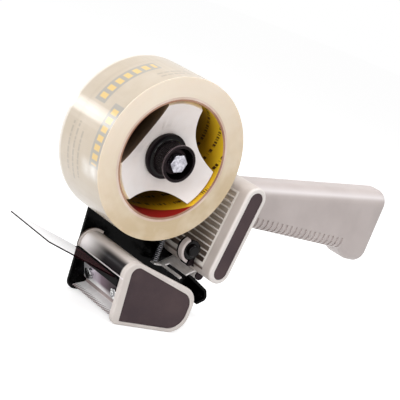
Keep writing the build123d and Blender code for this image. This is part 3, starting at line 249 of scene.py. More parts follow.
# %% Metals
def plated(name, colour, shade, roughness, spangle_mm, brush=(1.0, 1.0, 1.0), metal=1.0):
    """Plated or ground steel: a mottled tone, with the noise drawn out along the grinding direction."""
    material, tree, surface = new_material(name)
    place = add_node(tree, "ShaderNodeTexCoord").outputs["Object"]
    drawn = add_node(tree, "ShaderNodeMapping", {"Vector": place, "Scale": brush}).outputs[0]
    spangle = {"Scale": 1 / (spangle_mm * MM), "Detail": 3.0, "Roughness": 0.6}
    cloud, tone = mottled(tree, drawn, spangle, shade, colour)
    rough = add_node(tree, "ShaderNodeMapRange", {
        "Value": cloud, "To Min": roughness - 0.06, "To Max": roughness + 0.1})
    bump = add_node(tree, "ShaderNodeBump", {"Height": cloud, "Strength": 0.12, "Distance": 0.1 * MM})
    add_node(tree, "ShaderNodeBsdfPrincipled", {
        "Base Color": tone, "Metallic": metal, "Roughness": rough.outputs[0], "Normal": bump.outputs[0]},
        onto=surface)
    return material


zinc = plated("bright_zinc_plate", "#eeeff3", "#b9bbc2", 0.25, 1.6)
satin_zinc = plated("satin_zinc_plate", "#f7f4f2", "#e6e2df", 0.4, 1.2, brush=(1.0, 0.2, 1.0), metal=0.15)
bolt_zinc = plated("mottled_zinc_bolt", "#d4d2da", "#86848e", 0.3, 2.0)
polished_zinc = plated("polished_zinc_screw", "#ffffff", "#24232a", 0.15, 1.3)
black_oxide = plated("black_oxide_steel", "#2c2426", "#191416", 0.35, 0.9)
spring_wire = plated("drawn_spring_wire", "#d4d4da", "#8b8d94", 0.25, 0.8)

# %% Stoved enamel
black_enamel, tree, surface = new_material("stoved_black_enamel")
place = add_node(tree, "ShaderNodeTexCoord").outputs["Object"]
peel = grained(tree, place, 120.0, 0.3, 0.6 * MM)[1]
marks = add_node(tree, "ShaderNodeTexNoise", {
    "Vector": place, "Scale": 55.0, "Detail": 3.0, "Distortion": 1.2})
tone = add_node(tree, "ShaderNodeValToRGB", {"Fac": marks.outputs["Fac"]}, [
    (0.5, "#020202"), (0.62, "#080708"), (0.74, "#1c181a")])
add_node(tree, "ShaderNodeBsdfPrincipled", {
    "Base Color": tone.outputs[0], "Roughness": 0.16, "Specular IOR Level": 0.05, "Normal": peel},
    onto=surface)
print("finishes", len(bpy.data.materials))


# %% [markdown]
# ## Dress the carried-over solids
# Many solids have their true shape already, but a real edge has a small radius that catches light. A copy
# of each solid is merged, its flat faces are joined, and a bevel rounds the rest. The solid stays as it was
# packed.

# %% Helpers for pieces
WELD = 1e-6
SHARP_EDGE = radians(35)
FLAT_WITHIN = radians(0.5)


def body_of(node):
    """The body that a solid belongs to."""
    bodies = frame["record"]["behaviour"]["bodies"]
    return next(body for body, members in bodies.items() if node in members)


def settle(piece, node, materials=()):
    """Give a finished piece its finish and its body, in place of the solid."""
    for material in materials:
        piece.data.materials.append(material)
    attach(piece, body_of(node))
    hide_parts(node)


def bake(piece):
    """Turn a piece with modifiers into a plain mesh."""
    bpy.context.view_layer.update()
    mesh = bpy.data.meshes.new_from_object(piece.evaluated_get(bpy.context.evaluated_depsgraph_get()))
    piece.modifiers.clear()
    old = piece.data
    piece.data = mesh
    bpy.data.meshes.remove(old)


def eased(node, material, width_mm, segments=3):
    """A copy of a solid with its edges rounded by a bevel, in place of the solid."""
    mesh = frame["nodes"][node].data.copy()
    mesh.materials.clear()
    piece = bpy.data.objects.new(node + "_eased", mesh)
    bpy.context.scene.collection.objects.link(piece)
    bm = bmesh.new()
    bm.from_mesh(mesh)
    bmesh.ops.remove_doubles(bm, verts=bm.verts, dist=WELD)
    bmesh.ops.dissolve_limit(bm, angle_limit=FLAT_WITHIN, verts=bm.verts, edges=bm.edges)
    for face in bm.faces:
        face.smooth = True
    bm.to_mesh(mesh)
    bm.free()
    bevel = piece.modifiers.new("edge", "BEVEL")
    bevel.width = width_mm * MM
    bevel.segments = segments
    bevel.limit_method = "ANGLE"
    bevel.angle_limit = SHARP_EDGE
    bevel.harden_normals = True
    weighted = piece.modifiers.new("weighted", "WEIGHTED_NORMAL")    # flat faces stay flat to the light
    weighted.mode = "FACE_AREA"
    weighted.weight = 90
    bake(piece)
    settle(piece, node, [material])
    print(piece.name, "faces", len(piece.data.polygons))


# %% Edges and finishes of the smaller solids
for node, material, width in (
    ("side_plate", black_enamel, 0.4),
    ("head_panel", panel_abs, 0.3),
    ("block_panel", panel_abs, 0.3),
    ("blade_holder", black_abs, 0.4),
    ("wiper_bar", black_abs, 0.3),
    ("wiper_seat", black_abs, 0.15),
    ("spindle_nut", bolt_zinc, 0.5),
    ("blade_screws", polished_zinc, 0.35),
    ("hub_bolt", bolt_zinc, 0.6),
    ("wheel_bracket", black_abs, 0.3),
    ("hold_back_arm", black_abs, 0.25),
    ("wheel_guard", pale_abs, 0.3),
    ("guide_stop", black_abs, 0.3),
    ("tape_guide", satin_zinc, 0.15),
    ("bolt_washer", black_oxide, 0.2),
    ("spindle_washer", zinc, 0.2),
    ("roller_shaft", zinc, 0.3),
    ("guide_pin", black_oxide, 0.25),
    ("arm_pin", black_oxide, 0.35),
    ("spring_post", black_oxide, 0.2),
    ("spindle", zinc, 0.4),
    ("grip_tang", zinc, 0.3),
    ("roller_bush", nylon, 0.3),
    ("tape_roller", rubber, 0.6),
    ("hold_back_wheel", knob_abs, 0.5),
    ("wheel_cap", knob_abs, 0.5),
):
    eased(node, material, width)
for node, material in (
    ("tension_spring", black_oxide), ("guide_spring", spring_wire), ("arm_spring", spring_wire),
    ("friction_washer", felt),
):
    solid = frame["nodes"][node]
    solid.data.materials.clear()
    solid.data.materials.append(material)


# %% [markdown]
# ## Places on the roll
# The roll's finishes follow the roll: rings run round its side, and the print runs round its outer face. A
# Mapping node moves the pattern's centre to the hub and counts in millimetres. From that come the radius,
# the angle from straight back towards straight up, and the nearness: the distance from the roll's middle
# towards the open side.

# %% Polar places
def polar(tree):
    """Sockets for the place from the hub in mm, its radius, its angle in degrees and its nearness in mm."""
    place = add_node(tree, "ShaderNodeTexCoord").outputs["Object"]
    centred = add_node(tree, "ShaderNodeMapping", {
        "Vector": place, "Location": [-value / MM for value in HUB], "Scale": [1 / MM] * 3})
    parts = add_node(tree, "ShaderNodeSeparateXYZ", {0: centred.outputs[0]})
    flat = add_node(tree, "ShaderNodeCombineXYZ", {"X": parts.outputs["X"], "Z": parts.outputs["Z"]})
    radius = add_node(tree, "ShaderNodeVectorMath", {0: flat.outputs[0]}, operation="LENGTH")
    angle = add_node(tree, "ShaderNodeMath", {
        0: parts.outputs["Z"], 1: parts.outputs["X"]}, operation="ARCTAN2")
    angle = product(tree, angle.outputs[0], degrees(1))
    return centred.outputs[0], radius.outputs["Value"], angle, product(tree, parts.outputs["Y"], -1.0)


def patch(tree, socket, low, high, soft=0.3):
    """1 where a value lies between two limits, with a soft edge."""
    away = add_node(tree, "ShaderNodeMath", {0: socket, 1: (low + high) / 2}, operation="SUBTRACT")
    away = add_node(tree, "ShaderNodeMath", {0: away.outputs[0]}, operation="ABSOLUTE")
    half = (high - low) / 2
    edge = add_node(tree, "ShaderNodeMapRange", {
        "Value": away.outputs[0], "From Min": half - soft, "From Max": half + soft, "To Min": 1.0,
        "To Max": 0.0}, interpolation_type="SMOOTHSTEP")
    return edge.outputs[0]


def product(tree, total, *factors):
    """A socket times other sockets or numbers."""
    for factor in factors:
        total = add_node(tree, "ShaderNodeMath", {0: total, 1: factor}, operation="MULTIPLY").outputs[0]
    return total


def painted(tree, under, colour, mask):
    """A colour laid over another where a mask says."""
    over = {"Factor": mask, "A": under, "B": linear(colour)}
    return add_node(tree, "ShaderNodeMix", over, data_type="RGBA").outputs["Result"]


# %% [markdown]
# ## The wound film
# Clear polypropylene tape on a roll looks cream: hundreds of turns of film and adhesive scatter the light.
# Its side shows fine rings, one for each turn, and broader bands where the winding was tighter. Turns are
# about 0.08 mm apart, so they are drawn about four times as coarse to show. Its outer face is glossy, with
# painted light along its far edge and a painted reflection streak across it. Plain grey bands, yellow bars
# and dashed lines stand for the print between the layers.

# %% Side of the roll
FILM_IOR = 1.49
film_edge, tree, surface = new_material("wound_polypropylene_film_edge")
place, radius, _, _ = polar(tree)
rings = add_node(tree, "ShaderNodeTexNoise", {"W": radius, "Scale": 3.5, "Detail": 2.0, "Roughness": 0.8},
                 noise_dimensions="1D")
bands = add_node(tree, "ShaderNodeTexNoise", {
    "W": radius, "Scale": 0.35, "Detail": 1.0}, noise_dimensions="1D")
clouds = add_node(tree, "ShaderNodeTexNoise", {"Vector": place, "Scale": 0.06, "Detail": 3.0})
tone = add_node(tree, "ShaderNodeValToRGB", {"Fac": bands.outputs["Fac"]}, [
    (0.3, "#dfceb6"), (0.55, "#e1d1ba"), (0.75, "#e3d4be")])
parts = add_node(tree, "ShaderNodeSeparateXYZ", {0: place})
# a painted glow that grows towards the upper front
slope = add_node(tree, "ShaderNodeMath", {0: parts.outputs["X"], 1: -0.6, 2: parts.outputs["Z"]},
                 operation="MULTIPLY_ADD")
lit = add_node(tree, "ShaderNodeMapRange", {"Value": slope.outputs[0], "From Min": -45.0, "From Max": 45.0})
glowing = add_node(tree, "ShaderNodeValToRGB", {"Fac": lit.outputs[0]}, [
    (0.0, "#cdb997"), (0.45, "#e3d3bd"), (1.0, "#f4e9dc")])
tone = add_node(tree, "ShaderNodeMix", {"Factor": 0.75, "A": tone.outputs[0], "B": glowing.outputs[0]},
                data_type="RGBA")
tone = add_node(tree, "ShaderNodeMix", {
    "Factor": rings.outputs["Fac"], "A": tone.outputs["Result"], "B": linear("#a29a90")},
    data_type="RGBA", blend_type="SOFT_LIGHT")
haze = add_node(tree, "ShaderNodeMapRange", {
    "Value": clouds.outputs["Fac"], "From Min": 0.45, "From Max": 0.75, "To Max": 0.45})
colour = painted(tree, tone.outputs["Result"], "#f1e6d6", haze.outputs[0])
bump = add_node(tree, "ShaderNodeBump", {
    "Height": rings.outputs["Fac"], "Strength": 0.25, "Distance": 0.1 * MM})
add_node(tree, "ShaderNodeBsdfPrincipled", {
    "Base Color": colour, "Roughness": 0.42, "IOR": FILM_IOR, "Specular IOR Level": 0.4,
    "Normal": bump.outputs[0], "Subsurface Weight": 0.15, "Subsurface Radius": (0.004, 0.003, 0.002),
    "Subsurface Scale": 1.0}, onto=surface)

# %% Outer face of the roll
film_face, tree, surface = new_material("printed_polypropylene_film_face")
place, _, angle, near = polar(tree)
clouds = add_node(tree, "ShaderNodeTexNoise", {"Vector": place, "Scale": 0.05, "Detail": 3.0})
tone = add_node(tree, "ShaderNodeValToRGB", {"Fac": clouds.outputs["Fac"]}, [
    (0.3, "#c0b29f"), (0.5, "#c4b6a3"), (0.7, "#c9bcab")])
around = add_node(tree, "ShaderNodeMath", {0: angle, 1: 360.0}, operation="ADD").outputs[0]
around = add_node(tree, "ShaderNodeMath", {0: around, 1: 360.0}, operation="MODULO").outputs[0]
# faint turns of print seen through the layers below
ghost = product(tree, patch(tree, around, 60, 215, 12.0), patch(tree, near, -11.5, -9.0, 0.8), 0.25)
colour = painted(tree, tone.outputs[0], "#b5a795", ghost)
# two bands of plain bars: where each starts and stops round the roll, and its two sides
for start, stop, low, high in ((111, 159, -6.0, 5.0), (155, 199, 13.5, 23.8)):
    band = product(tree, patch(tree, around, start, stop, 0.4), patch(tree, near, low, high))
    colour = painted(tree, colour, "#a9a39b", band)
    bars = add_node(tree, "ShaderNodeMath", {0: around, 1: (stop - start) / 7}, operation="MODULO").outputs[0]
    bars = product(tree, patch(tree, around, start + 1.5, stop - 1.5, 0.4), patch(tree, bars, 1.4, 5.4, 0.4),
                   patch(tree, near, low + 2.2, high - 2.2))
    colour = painted(tree, colour, "#dfc07e", bars)
# broken lines where small print would be
breaks = add_node(tree, "ShaderNodeTexNoise", {
    "W": around, "Scale": 0.55, "Detail": 1.0}, noise_dimensions="1D")
breaks = add_node(tree, "ShaderNodeMapRange", {
    "Value": breaks.outputs["Fac"], "From Min": 0.4, "From Max": 0.46, "To Max": 0.42}).outputs[0]
for start, stop, line in (
    (95, 120, 12.5), (95, 120, 17.0), (178, 212, -12.0), (176, 217, -6.0), (180, 214, 0.0),
):
    dashes = product(tree, patch(tree, around, start, stop, 0.4), patch(tree, near, line - 0.9, line + 0.9),
                     breaks)
    colour = painted(tree, colour, "#8f877e", dashes)
# painted light along the pale far edge, and a painted reflection streak broken up by noise
colour = painted(tree, colour, "#f7f2ec", product(tree, patch(tree, near, -26.0, -21.5, 1.2), 0.7))
streak_noise = add_node(tree, "ShaderNodeTexNoise", {"Vector": place, "Scale": 0.12, "Detail": 2.0})
painted_streak = product(tree, patch(tree, around, 197, 207, 4.0), patch(tree, near, 6, 24, 5.0), streak_noise.outputs["Fac"])
colour = painted(tree, colour, "#fdfbf8", painted_streak)
ripple = add_node(tree, "ShaderNodeTexNoise", {
    "W": around, "Scale": 0.12, "Detail": 2.0}, noise_dimensions="1D")
bump = add_node(tree, "ShaderNodeBump", {
    "Height": ripple.outputs["Fac"], "Strength": 0.3, "Distance": 1.5 * MM})
add_node(tree, "ShaderNodeBsdfPrincipled", {
    "Base Color": colour, "Roughness": 0.35, "IOR": FILM_IOR, "Specular IOR Level": 0.4, "Coat Weight": 0.4,
    "Coat Roughness": 0.18, "Normal": bump.outputs[0]}, onto=surface)


# %% [markdown]
# ## Turning a profile
# Round pieces could be cylinders with a bevel, or Blender's Spin. Here a closed outline of radius and
# nearness is swept in rings straight into the mesh, so each face knows whether it is the side or the outer
# face, and the shape is exact. Corners are given as two near points, which shades as a small round.

# %% Turned pieces
TURN_STEPS = 144


def turned(node, name, outline, finishes):
    """Sweep a closed outline of (radius mm, nearness mm, finish index) round the hub axis."""
    bm = bmesh.new()
    rings = []
    for step in range(TURN_STEPS):
        angle = 2 * pi * step / TURN_STEPS
        rings.append([
            bm.verts.new(HUB + Vector((radius * cos(angle), -near, radius * sin(angle))) * MM)
            for radius, near, finish in outline
        ])
    for step in range(TURN_STEPS):
        here, after = rings[step], rings[(step + 1) % TURN_STEPS]
        for count, (radius, near, finish) in enumerate(outline):
            follow = (count + 1) % len(outline)
            face = bm.faces.new((here[count], after[count], after[follow], here[follow]))
            face.material_index = finish
            face.smooth = True
    bmesh.ops.recalc_face_normals(bm, faces=bm.faces)
    mesh = bpy.data.meshes.new(name)
    bm.to_mesh(mesh)
    bm.free()
    piece = bpy.data.objects.new(name, mesh)
    bpy.context.scene.collection.objects.link(piece)
    mesh.set_sharp_from_angle(angle=radians(40))
    settle(piece, node, finishes)


half_width = (roll_high.y - roll_low.y) / 2 / MM
roll_radius = (roll_high.x - roll_low.x) / 2 / MM
core_low, core_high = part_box("tape_core")
core_radius = (core_high.x - core_low.x) / 2 / MM
LAST_TURN = 0.25
turned("tape_winding", "film_winding", [
    (core_radius, half_width, 0), (roll_radius - LAST_TURN, half_width, 0),
    (roll_radius, half_width - LAST_TURN, 1), (roll_radius, LAST_TURN - half_width, 0),
    (roll_radius - LAST_TURN, -half_width, 0), (core_radius, -half_width, 1),
], [film_edge, film_face])
print("roll radius", roll_radius, "core radius", core_radius, "half width", half_width)

# %% [markdown]
# ## The core
# A core is a spiral-wound board tube. Its cut ends are bare brown board, and inside it is lined with
# printed yellow paper, with painted shade that turns it ochre further in, one plain red spiral stripe and
# short dark dashes in rows.

# %% Core
core_lining, tree, surface = new_material("printed_core_lining")
place, _, angle, near = polar(tree)
fibres = grained(tree, place, 0.5, 0.3, detail=4.0)[1]
# painted shade: the yellow lining turns ochre further into the core
depth = add_node(tree, "ShaderNodeMapRange", {"Value": near, "From Min": -24.0, "From Max": 24.0})
tone = add_node(tree, "ShaderNodeValToRGB", {"Fac": depth.outputs[0]}, [
    (0.0, "#8a5f14"), (0.7, "#c79414"), (1.0, "#efc62c")])
SPIRAL = 0.42    # millimetres along the core for each degree round it
slide = product(tree, angle, -SPIRAL)
spiral = add_node(tree, "ShaderNodeMath", {0: near, 1: slide}, operation="ADD").outputs[0]
rows = add_node(tree, "ShaderNodeMath", {0: spiral, 1: 14.0}, operation="WRAP").outputs[0]
words = add_node(tree, "ShaderNodeTexNoise", {"W": angle, "Scale": 0.3, "Detail": 1.0}, noise_dimensions="1D")
words = patch(tree, words.outputs["Fac"], 0.5, 0.8, 0.02)
colour = painted(tree, tone.outputs[0], "#4a2c10", product(tree, patch(tree, rows, 3.0, 6.0, 0.3), words))
colour = painted(tree, colour, "#9c1f18", patch(tree, spiral, 41.0, 71.0, 0.4))
add_node(tree, "ShaderNodeBsdfPrincipled", {
    "Base Color": colour, "Roughness": 0.4, "Specular IOR Level": 0.4, "Normal": fibres}, onto=surface)
board = moulded("cut_brown_board", "#e6d3c6", "#d0b5a2", 0.85, 0.5, 0.8, gloss=0.15)
inner_board = moulded("glued_inner_board", "#b58d78", "#9a705c", 0.85, 0.5, 0.8, gloss=0.15)
CORE_WALL, GLUED_RIM, CUT_ROUND = 2.8, 1.3, 0.3
BORE = core_radius - CORE_WALL
turned("tape_core", "board_core", [
    (core_radius, half_width, 0), (core_radius, -half_width, 2), (BORE + GLUED_RIM, -half_width, 2),
    (BORE + CUT_ROUND, -half_width, 2), (BORE, CUT_ROUND - half_width, 1), (BORE, half_width - CUT_ROUND, 2),
    (BORE + CUT_ROUND, half_width, 2), (BORE + GLUED_RIM, half_width, 0),
], [board, core_lining, inner_board])
print("core bore", round(BORE, 2))

# %% [markdown]
# ## The hub
# The hub is one pearl-coloured moulding with a dished front and three scalloped sides. Its face is
# polished, with cloudy patches of painted sheen, and its walls carry painted shade that goes darker inside
# the core, so their tone follows the depth. Its solid has the right shape already, so it is only eased.

# %% Hub
pearl_hub, tree, surface = new_material("pearl_hub_abs_painted_shade_and_sheen")
place, _, _, near = polar(tree)
cloud = add_node(tree, "ShaderNodeTexNoise", {"Vector": place, "Scale": 0.04, "Detail": 3.0})
depth = add_node(tree, "ShaderNodeMapRange", {"Value": near, "From Min": -22.0, "From Max": 22.0})
# painted shade on the walls, darker deeper inside the core
wall_shade = add_node(tree, "ShaderNodeValToRGB", {"Fac": depth.outputs[0]}, [
    (0.0, "#17100d"), (0.6, "#2f241e"), (0.9, "#5d5048"), (1.0, "#8d8078")])
facing = add_node(tree, "ShaderNodeTexCoord").outputs["Normal"]
facing = add_node(tree, "ShaderNodeSeparateXYZ", {0: facing})
facing = add_node(tree, "ShaderNodeMath", {0: facing.outputs["Y"]}, operation="ABSOLUTE")
facing = add_node(tree, "ShaderNodeMapRange", {"Value": facing.outputs[0], "From Min": 0.35, "From Max": 0.6})
facing = facing.outputs[0]
colour = painted(tree, wall_shade.outputs[0], "#ebe0db", facing)
# painted sheen in cloudy patches on the faces
sheen = product(tree, patch(tree, cloud.outputs["Fac"], 0.5, 0.9, 0.2), facing)
colour = painted(tree, colour, "#f3ecea", sheen)
add_node(tree, "ShaderNodeBsdfPrincipled", {
    "Base Color": colour, "Roughness": 0.28, "IOR": ABS_IOR, "Coat Weight": 0.4, "Coat Roughness": 0.12},
    onto=surface)
eased("hub", pearl_hub, 0.5)

# %% [markdown]
# ## Repeated shapes with Geometry Nodes
# Knurls and screws repeat one small form. A Geometry Nodes tree makes it once and sets it on points, so a
# count or a size is one number to change. The result is baked to a plain mesh before it joins a body.

# %% Helpers for shape trees
def shape_tree(name, inputs):
    """A Geometry Nodes tree with named inputs, and the sockets that give their values."""
    tree = bpy.data.node_groups.new(name, "GeometryNodeTree")
    tree.interface.new_socket("Geometry", in_out="OUTPUT", socket_type="NodeSocketGeometry")
    for label, kind in inputs.items():
        tree.interface.new_socket(label, in_out="INPUT", socket_type="NodeSocket" + kind)
    return tree, add_node(tree, "NodeGroupInput").outputs


def closed(tree, copies, finish):
    """Make copies a plain mesh with its finish, as what the tree gives."""
    solid = add_node(tree, "GeometryNodeRealizeInstances", {0: copies})
    dressed = add_node(tree, "GeometryNodeSetMaterial", {"Geometry": solid.outputs[0], "Material": finish})
    add_node(tree, "NodeGroupOutput", {"Geometry": dressed.outputs[0]})


def grown(name, tree, values, points=()):
    """An object made by a tree from named values, baked to a plain mesh."""
    mesh = bpy.data.meshes.new(name)
    mesh.from_pydata(points, [], [])
    piece = bpy.data.objects.new(name, mesh)
    bpy.context.scene.collection.objects.link(piece)
    made = piece.modifiers.new("shape", "NODES")
    made.node_group = tree
    for item in tree.interface.items_tree:
        if item.in_out == "INPUT" and item.name in values:
            made[item.identifier] = values[item.name]
    bake(piece)
    return piece


# %% Knurl
knurl, sizes = shape_tree("knurl", {
    "Count": "Int", "Radius": "Float", "Length": "Float", "Width": "Float", "Height": "Float",
    "Middle": "Vector", "Finish": "Material"})
circle = add_node(knurl, "GeometryNodeMeshCircle", {"Vertices": sizes["Count"], "Radius": sizes["Radius"]})
spot = add_node(knurl, "GeometryNodeInputPosition")
turn = add_node(knurl, "FunctionNodeAlignRotationToVector", {"Vector": spot.outputs[0]}, axis="X")
size = add_node(knurl, "ShaderNodeCombineXYZ", {
    "X": sizes["Height"], "Y": sizes["Width"], "Z": sizes["Length"]})
ridge = add_node(knurl, "GeometryNodeMeshCube", {"Size": size.outputs[0]})
ridges = add_node(knurl, "GeometryNodeInstanceOnPoints", {
    "Points": circle.outputs["Mesh"], "Instance": ridge.outputs["Mesh"], "Rotation": turn.outputs[0]})
placed = add_node(knurl, "GeometryNodeTransform", {
    "Geometry": ridges.outputs[0], "Translation": sizes["Middle"], "Rotation": (pi / 2, 0, 0)})
closed(knurl, placed.outputs[0], sizes["Finish"])
print("knurl nodes", len(knurl.nodes))

# %% [markdown]
# ## Tension knob
# The knob presses on the hub so that the roll does not run on. It has a round flange, a neck with straight
# ribs for the fingers, and a finely knurled brown rim round a deep recess that holds the bolt. The knurl's
# ridges carry a painted highlight.

# %% Knob
knob_low, knob_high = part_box("tension_knob")
KNOB_END = (HUB.y - knob_low.y) / MM
KNOB_BACK = (HUB.y - knob_high.y) / MM
FLANGE, FLANGE_RADIUS = 2.5, (knob_high.x - knob_low.x) / 2 / MM
NECK_RADIUS, RIM_RADIUS, RIM, RECESS_RADIUS = 10.9, 11.9, 2.0, 10.1
SHAFT_BORE, RECESS_FLOOR = 5.05, KNOB_BACK + 4.5
DISH = 2.1
face_at = KNOB_BACK + FLANGE
dish = [(NECK_RADIUS + DISH * (1 - sin(turn)), face_at + DISH * (1 - cos(turn)), 0)
        for turn in (radians(15 * step) for step in range(7))]
turned("tension_knob", "tension_knob_body", [
    (SHAFT_BORE, KNOB_BACK, 0), (FLANGE_RADIUS - 0.4, KNOB_BACK, 0), (FLANGE_RADIUS, KNOB_BACK + 0.4, 1),
    (FLANGE_RADIUS, face_at - 0.5, 1), (FLANGE_RADIUS - 0.5, face_at, 1), *dish,
    (NECK_RADIUS, KNOB_END - RIM - 0.4, 0),
    (RIM_RADIUS - 0.3, KNOB_END - RIM, 1), (RIM_RADIUS, KNOB_END - RIM + 0.3, 1),
    (RIM_RADIUS, KNOB_END - 0.5, 1), (RIM_RADIUS - 0.5, KNOB_END, 1),
    (RECESS_RADIUS + 0.3, KNOB_END, 1), (RECESS_RADIUS, KNOB_END - 0.3, 0),
    (RECESS_RADIUS, RECESS_FLOOR, 0), (SHAFT_BORE, RECESS_FLOOR, 0),
], [knob_abs, ring_abs])
neck_length = KNOB_END - RIM - face_at - DISH
neck_middle = HUB + Vector((0, -(KNOB_END - RIM - neck_length / 2) * MM, 0))
rim_middle = HUB + Vector((0, -(KNOB_END - RIM / 2) * MM, 0))
for name, count, radius, length, middle, width, height, finish in (
    ("knob_neck_ribs", 60, NECK_RADIUS, neck_length, neck_middle, 0.42, 0.5, ring_abs),
    ("knob_rim_knurl", 90, RIM_RADIUS, RIM - 0.8, rim_middle, 0.42, 0.4, knurl_highlight_abs),
):
    ribs = grown(name, knurl, {
        "Count": count, "Radius": radius * MM, "Length": length * MM, "Width": width * MM,
        "Height": height * MM, "Middle": middle, "Finish": finish})
    settle(ribs, "tension_knob")
    print(name, "faces", len(ribs.data.polygons))


# %% [markdown]
# ## The head
# The head guides the tape to the blade. It is one moulding: a flat cheek on the open side with a rounded
# rim, and a hood that bends over the front. The hood's front is painted white at its far top and dark at
# its lower near corner, as painted reflections of what a real one mirrors there. A painted highlight runs
# along its lower front edge, and its far lip carries painted shade in brown-grey.

# %% Head
head_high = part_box("head_shell")[1]
head_abs, tree, surface = new_material("satin_head_abs")
coords = add_node(tree, "ShaderNodeTexCoord")
place = coords.outputs["Object"]
parts = add_node(tree, "ShaderNodeSeparateXYZ", {0: place})
facing = add_node(tree, "ShaderNodeSeparateXYZ", {0: coords.outputs["Normal"]})
bump = grained(tree, place, 2000.0, 0.2)[1]
tone = mottled(tree, place, {"Scale": 50.0, "Detail": 3.0}, "#d6cdc8", "#e0d8d3")[1]
front = add_node(tree, "ShaderNodeMapRange", {
    "Value": facing.outputs["X"], "From Min": -0.5, "From Max": -0.85}, interpolation_type="SMOOTHSTEP")
near_side = add_node(tree, "ShaderNodeMapRange", {
    "Value": parts.outputs["Y"], "From Min": HUB.y + 25 * MM, "From Max": HUB.y - 6 * MM},
    interpolation_type="SMOOTHSTEP")
low_down = add_node(tree, "ShaderNodeMapRange", {
    "Value": parts.outputs["Z"], "From Min": 50 * MM, "From Max": 37 * MM, "To Min": 0.3},
    interpolation_type="SMOOTHSTEP")
past_rim = add_node(tree, "ShaderNodeMapRange", {
    "Value": parts.outputs["Y"], "From Min": HUB.y - 25.8 * MM, "From Max": HUB.y - 24.8 * MM})
# painted reflection: dark towards the hood front's lower near corner, white towards its far top
dark = product(tree, front.outputs[0], near_side.outputs[0], low_down.outputs[0], past_rim.outputs[0])
far_side = add_node(tree, "ShaderNodeMath", {0: 1.0, 1: near_side.outputs[0]}, operation="SUBTRACT")
colour = painted(tree, tone, "#fffafa", product(tree, front.outputs[0], far_side.outputs[0]))
colour = painted(tree, colour, "#120c0f", dark)
# painted highlight: a bright line along the hood's lower front edge
edge = product(tree, front.outputs[0], patch(tree, parts.outputs["Z"], 29.8 * MM, 30.9 * MM, 0.1 * MM))
colour = painted(tree, colour, "#efe8e8", edge)
# painted shade: the far lip is brown-grey
lip = add_node(tree, "ShaderNodeMapRange", {
    "Value": parts.outputs["Y"], "From Min": head_high.y - 1.9 * MM, "From Max": head_high.y - 1.7 * MM})
colour = painted(tree, colour, "#5a4d46", lip.outputs[0])
add_node(tree, "ShaderNodeBsdfPrincipled", {
    "Base Color": colour, "Roughness": 0.34, "IOR": ABS_IOR, "Specular IOR Level": 0.08, "Normal": bump},
    onto=surface)
eased("head_shell", head_abs, 0.5)

# %% [markdown]
# ## Wiper
# The wiper is a springy leaf that smooths the tape down on the box. It is a clear, faintly smoky sheet:
# against white it is almost white, and in front of the black parts it is black with a sheen. Its cut edges
# are opaque and dark red-brown, as one looks into the depth of the sheet there. The sheet is too thin to
# bend the view, so a low alpha is enough.

# %% Wiper
wiper_low, wiper_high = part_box("wiper")
smoky_sheet, tree, surface = new_material("clear_smoky_wiper_sheet")
coords = add_node(tree, "ShaderNodeTexCoord")
facing = add_node(tree, "ShaderNodeSeparateXYZ", {0: coords.outputs["Normal"]})
parts = add_node(tree, "ShaderNodeSeparateXYZ", {0: coords.outputs["Object"]})
streaks = add_node(tree, "ShaderNodeMapping", {"Vector": coords.outputs["Object"], "Scale": (1.0, 12.0, 1.0)})
tint = mottled(tree, streaks.outputs[0], {"Scale": 25.0, "Detail": 3.0}, "#472225", "#52292c")[1]
# the front and the near cut edge, told by direction and place
cuts = []
for way, start, end, low in (("X", -0.5, -0.6, wiper_low.x), ("Y", -0.4, -0.5, wiper_low.y)):
    cut = add_node(tree, "ShaderNodeMapRange", {
        "Value": facing.outputs[way], "From Min": start, "From Max": end})
    cuts.append(product(tree, cut.outputs[0], patch(tree, parts.outputs[way], -1.0, low + MM, 0.1 * MM)))
edge = add_node(tree, "ShaderNodeMath", dict(enumerate(cuts)), operation="MAXIMUM").outputs[0]
smoke = add_node(tree, "ShaderNodeMapRange", {
    "Value": parts.outputs["X"], "From Min": wiper_low.x, "From Max": wiper_high.x, "To Min": 0.12,
    "To Max": 0.3})
solid = add_node(tree, "ShaderNodeMath", {0: smoke.outputs[0], 1: edge}, operation="MAXIMUM")
colour = painted(tree, tint, "#120406", edge)
add_node(tree, "ShaderNodeBsdfPrincipled", {
    "Base Color": colour, "Alpha": solid.outputs[0], "Roughness": 0.12, "Specular IOR Level": 0.0},
    onto=surface)
eased("wiper", smoky_sheet, 0.12, segments=2)

# %% [markdown]
# ## Blade clamp
# The clamp is a strip of brushed stainless steel. Its tone runs from white at the far end to a dark
# red-brown at the near end, with fine lines along it: that run is painted reflection and shade, with a
# painted sheen low on its far part. The tone is painted, so the metallic value is lowered to 0.7.

# %% Clamp
clamp_low, clamp_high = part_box("blade_clamp")
clamp_steel, tree, surface = new_material("brushed_stainless_clamp")
place = add_node(tree, "ShaderNodeTexCoord").outputs["Object"]
parts = add_node(tree, "ShaderNodeSeparateXYZ", {0: place})
drawn = add_node(tree, "ShaderNodeMapping", {"Vector": place, "Scale": (0.1, 1.0, 0.1)})
lines = add_node(tree, "ShaderNodeTexNoise", {"Vector": drawn.outputs[0], "Scale": 1500.0, "Detail": 3.0})
across = add_node(tree, "ShaderNodeMapRange", {
    "Value": parts.outputs["Y"], "From Min": clamp_high.y, "From Max": clamp_low.y})
# painted reflection and shade: white at the far end, dark red-brown at the near end
tone = add_node(tree, "ShaderNodeValToRGB", {"Fac": across.outputs[0]}, [
    (0.0, "#ffffff"), (0.25, "#d9d0da"), (0.45, "#74626d"), (0.65, "#38272f"), (0.85, "#150b0e")])
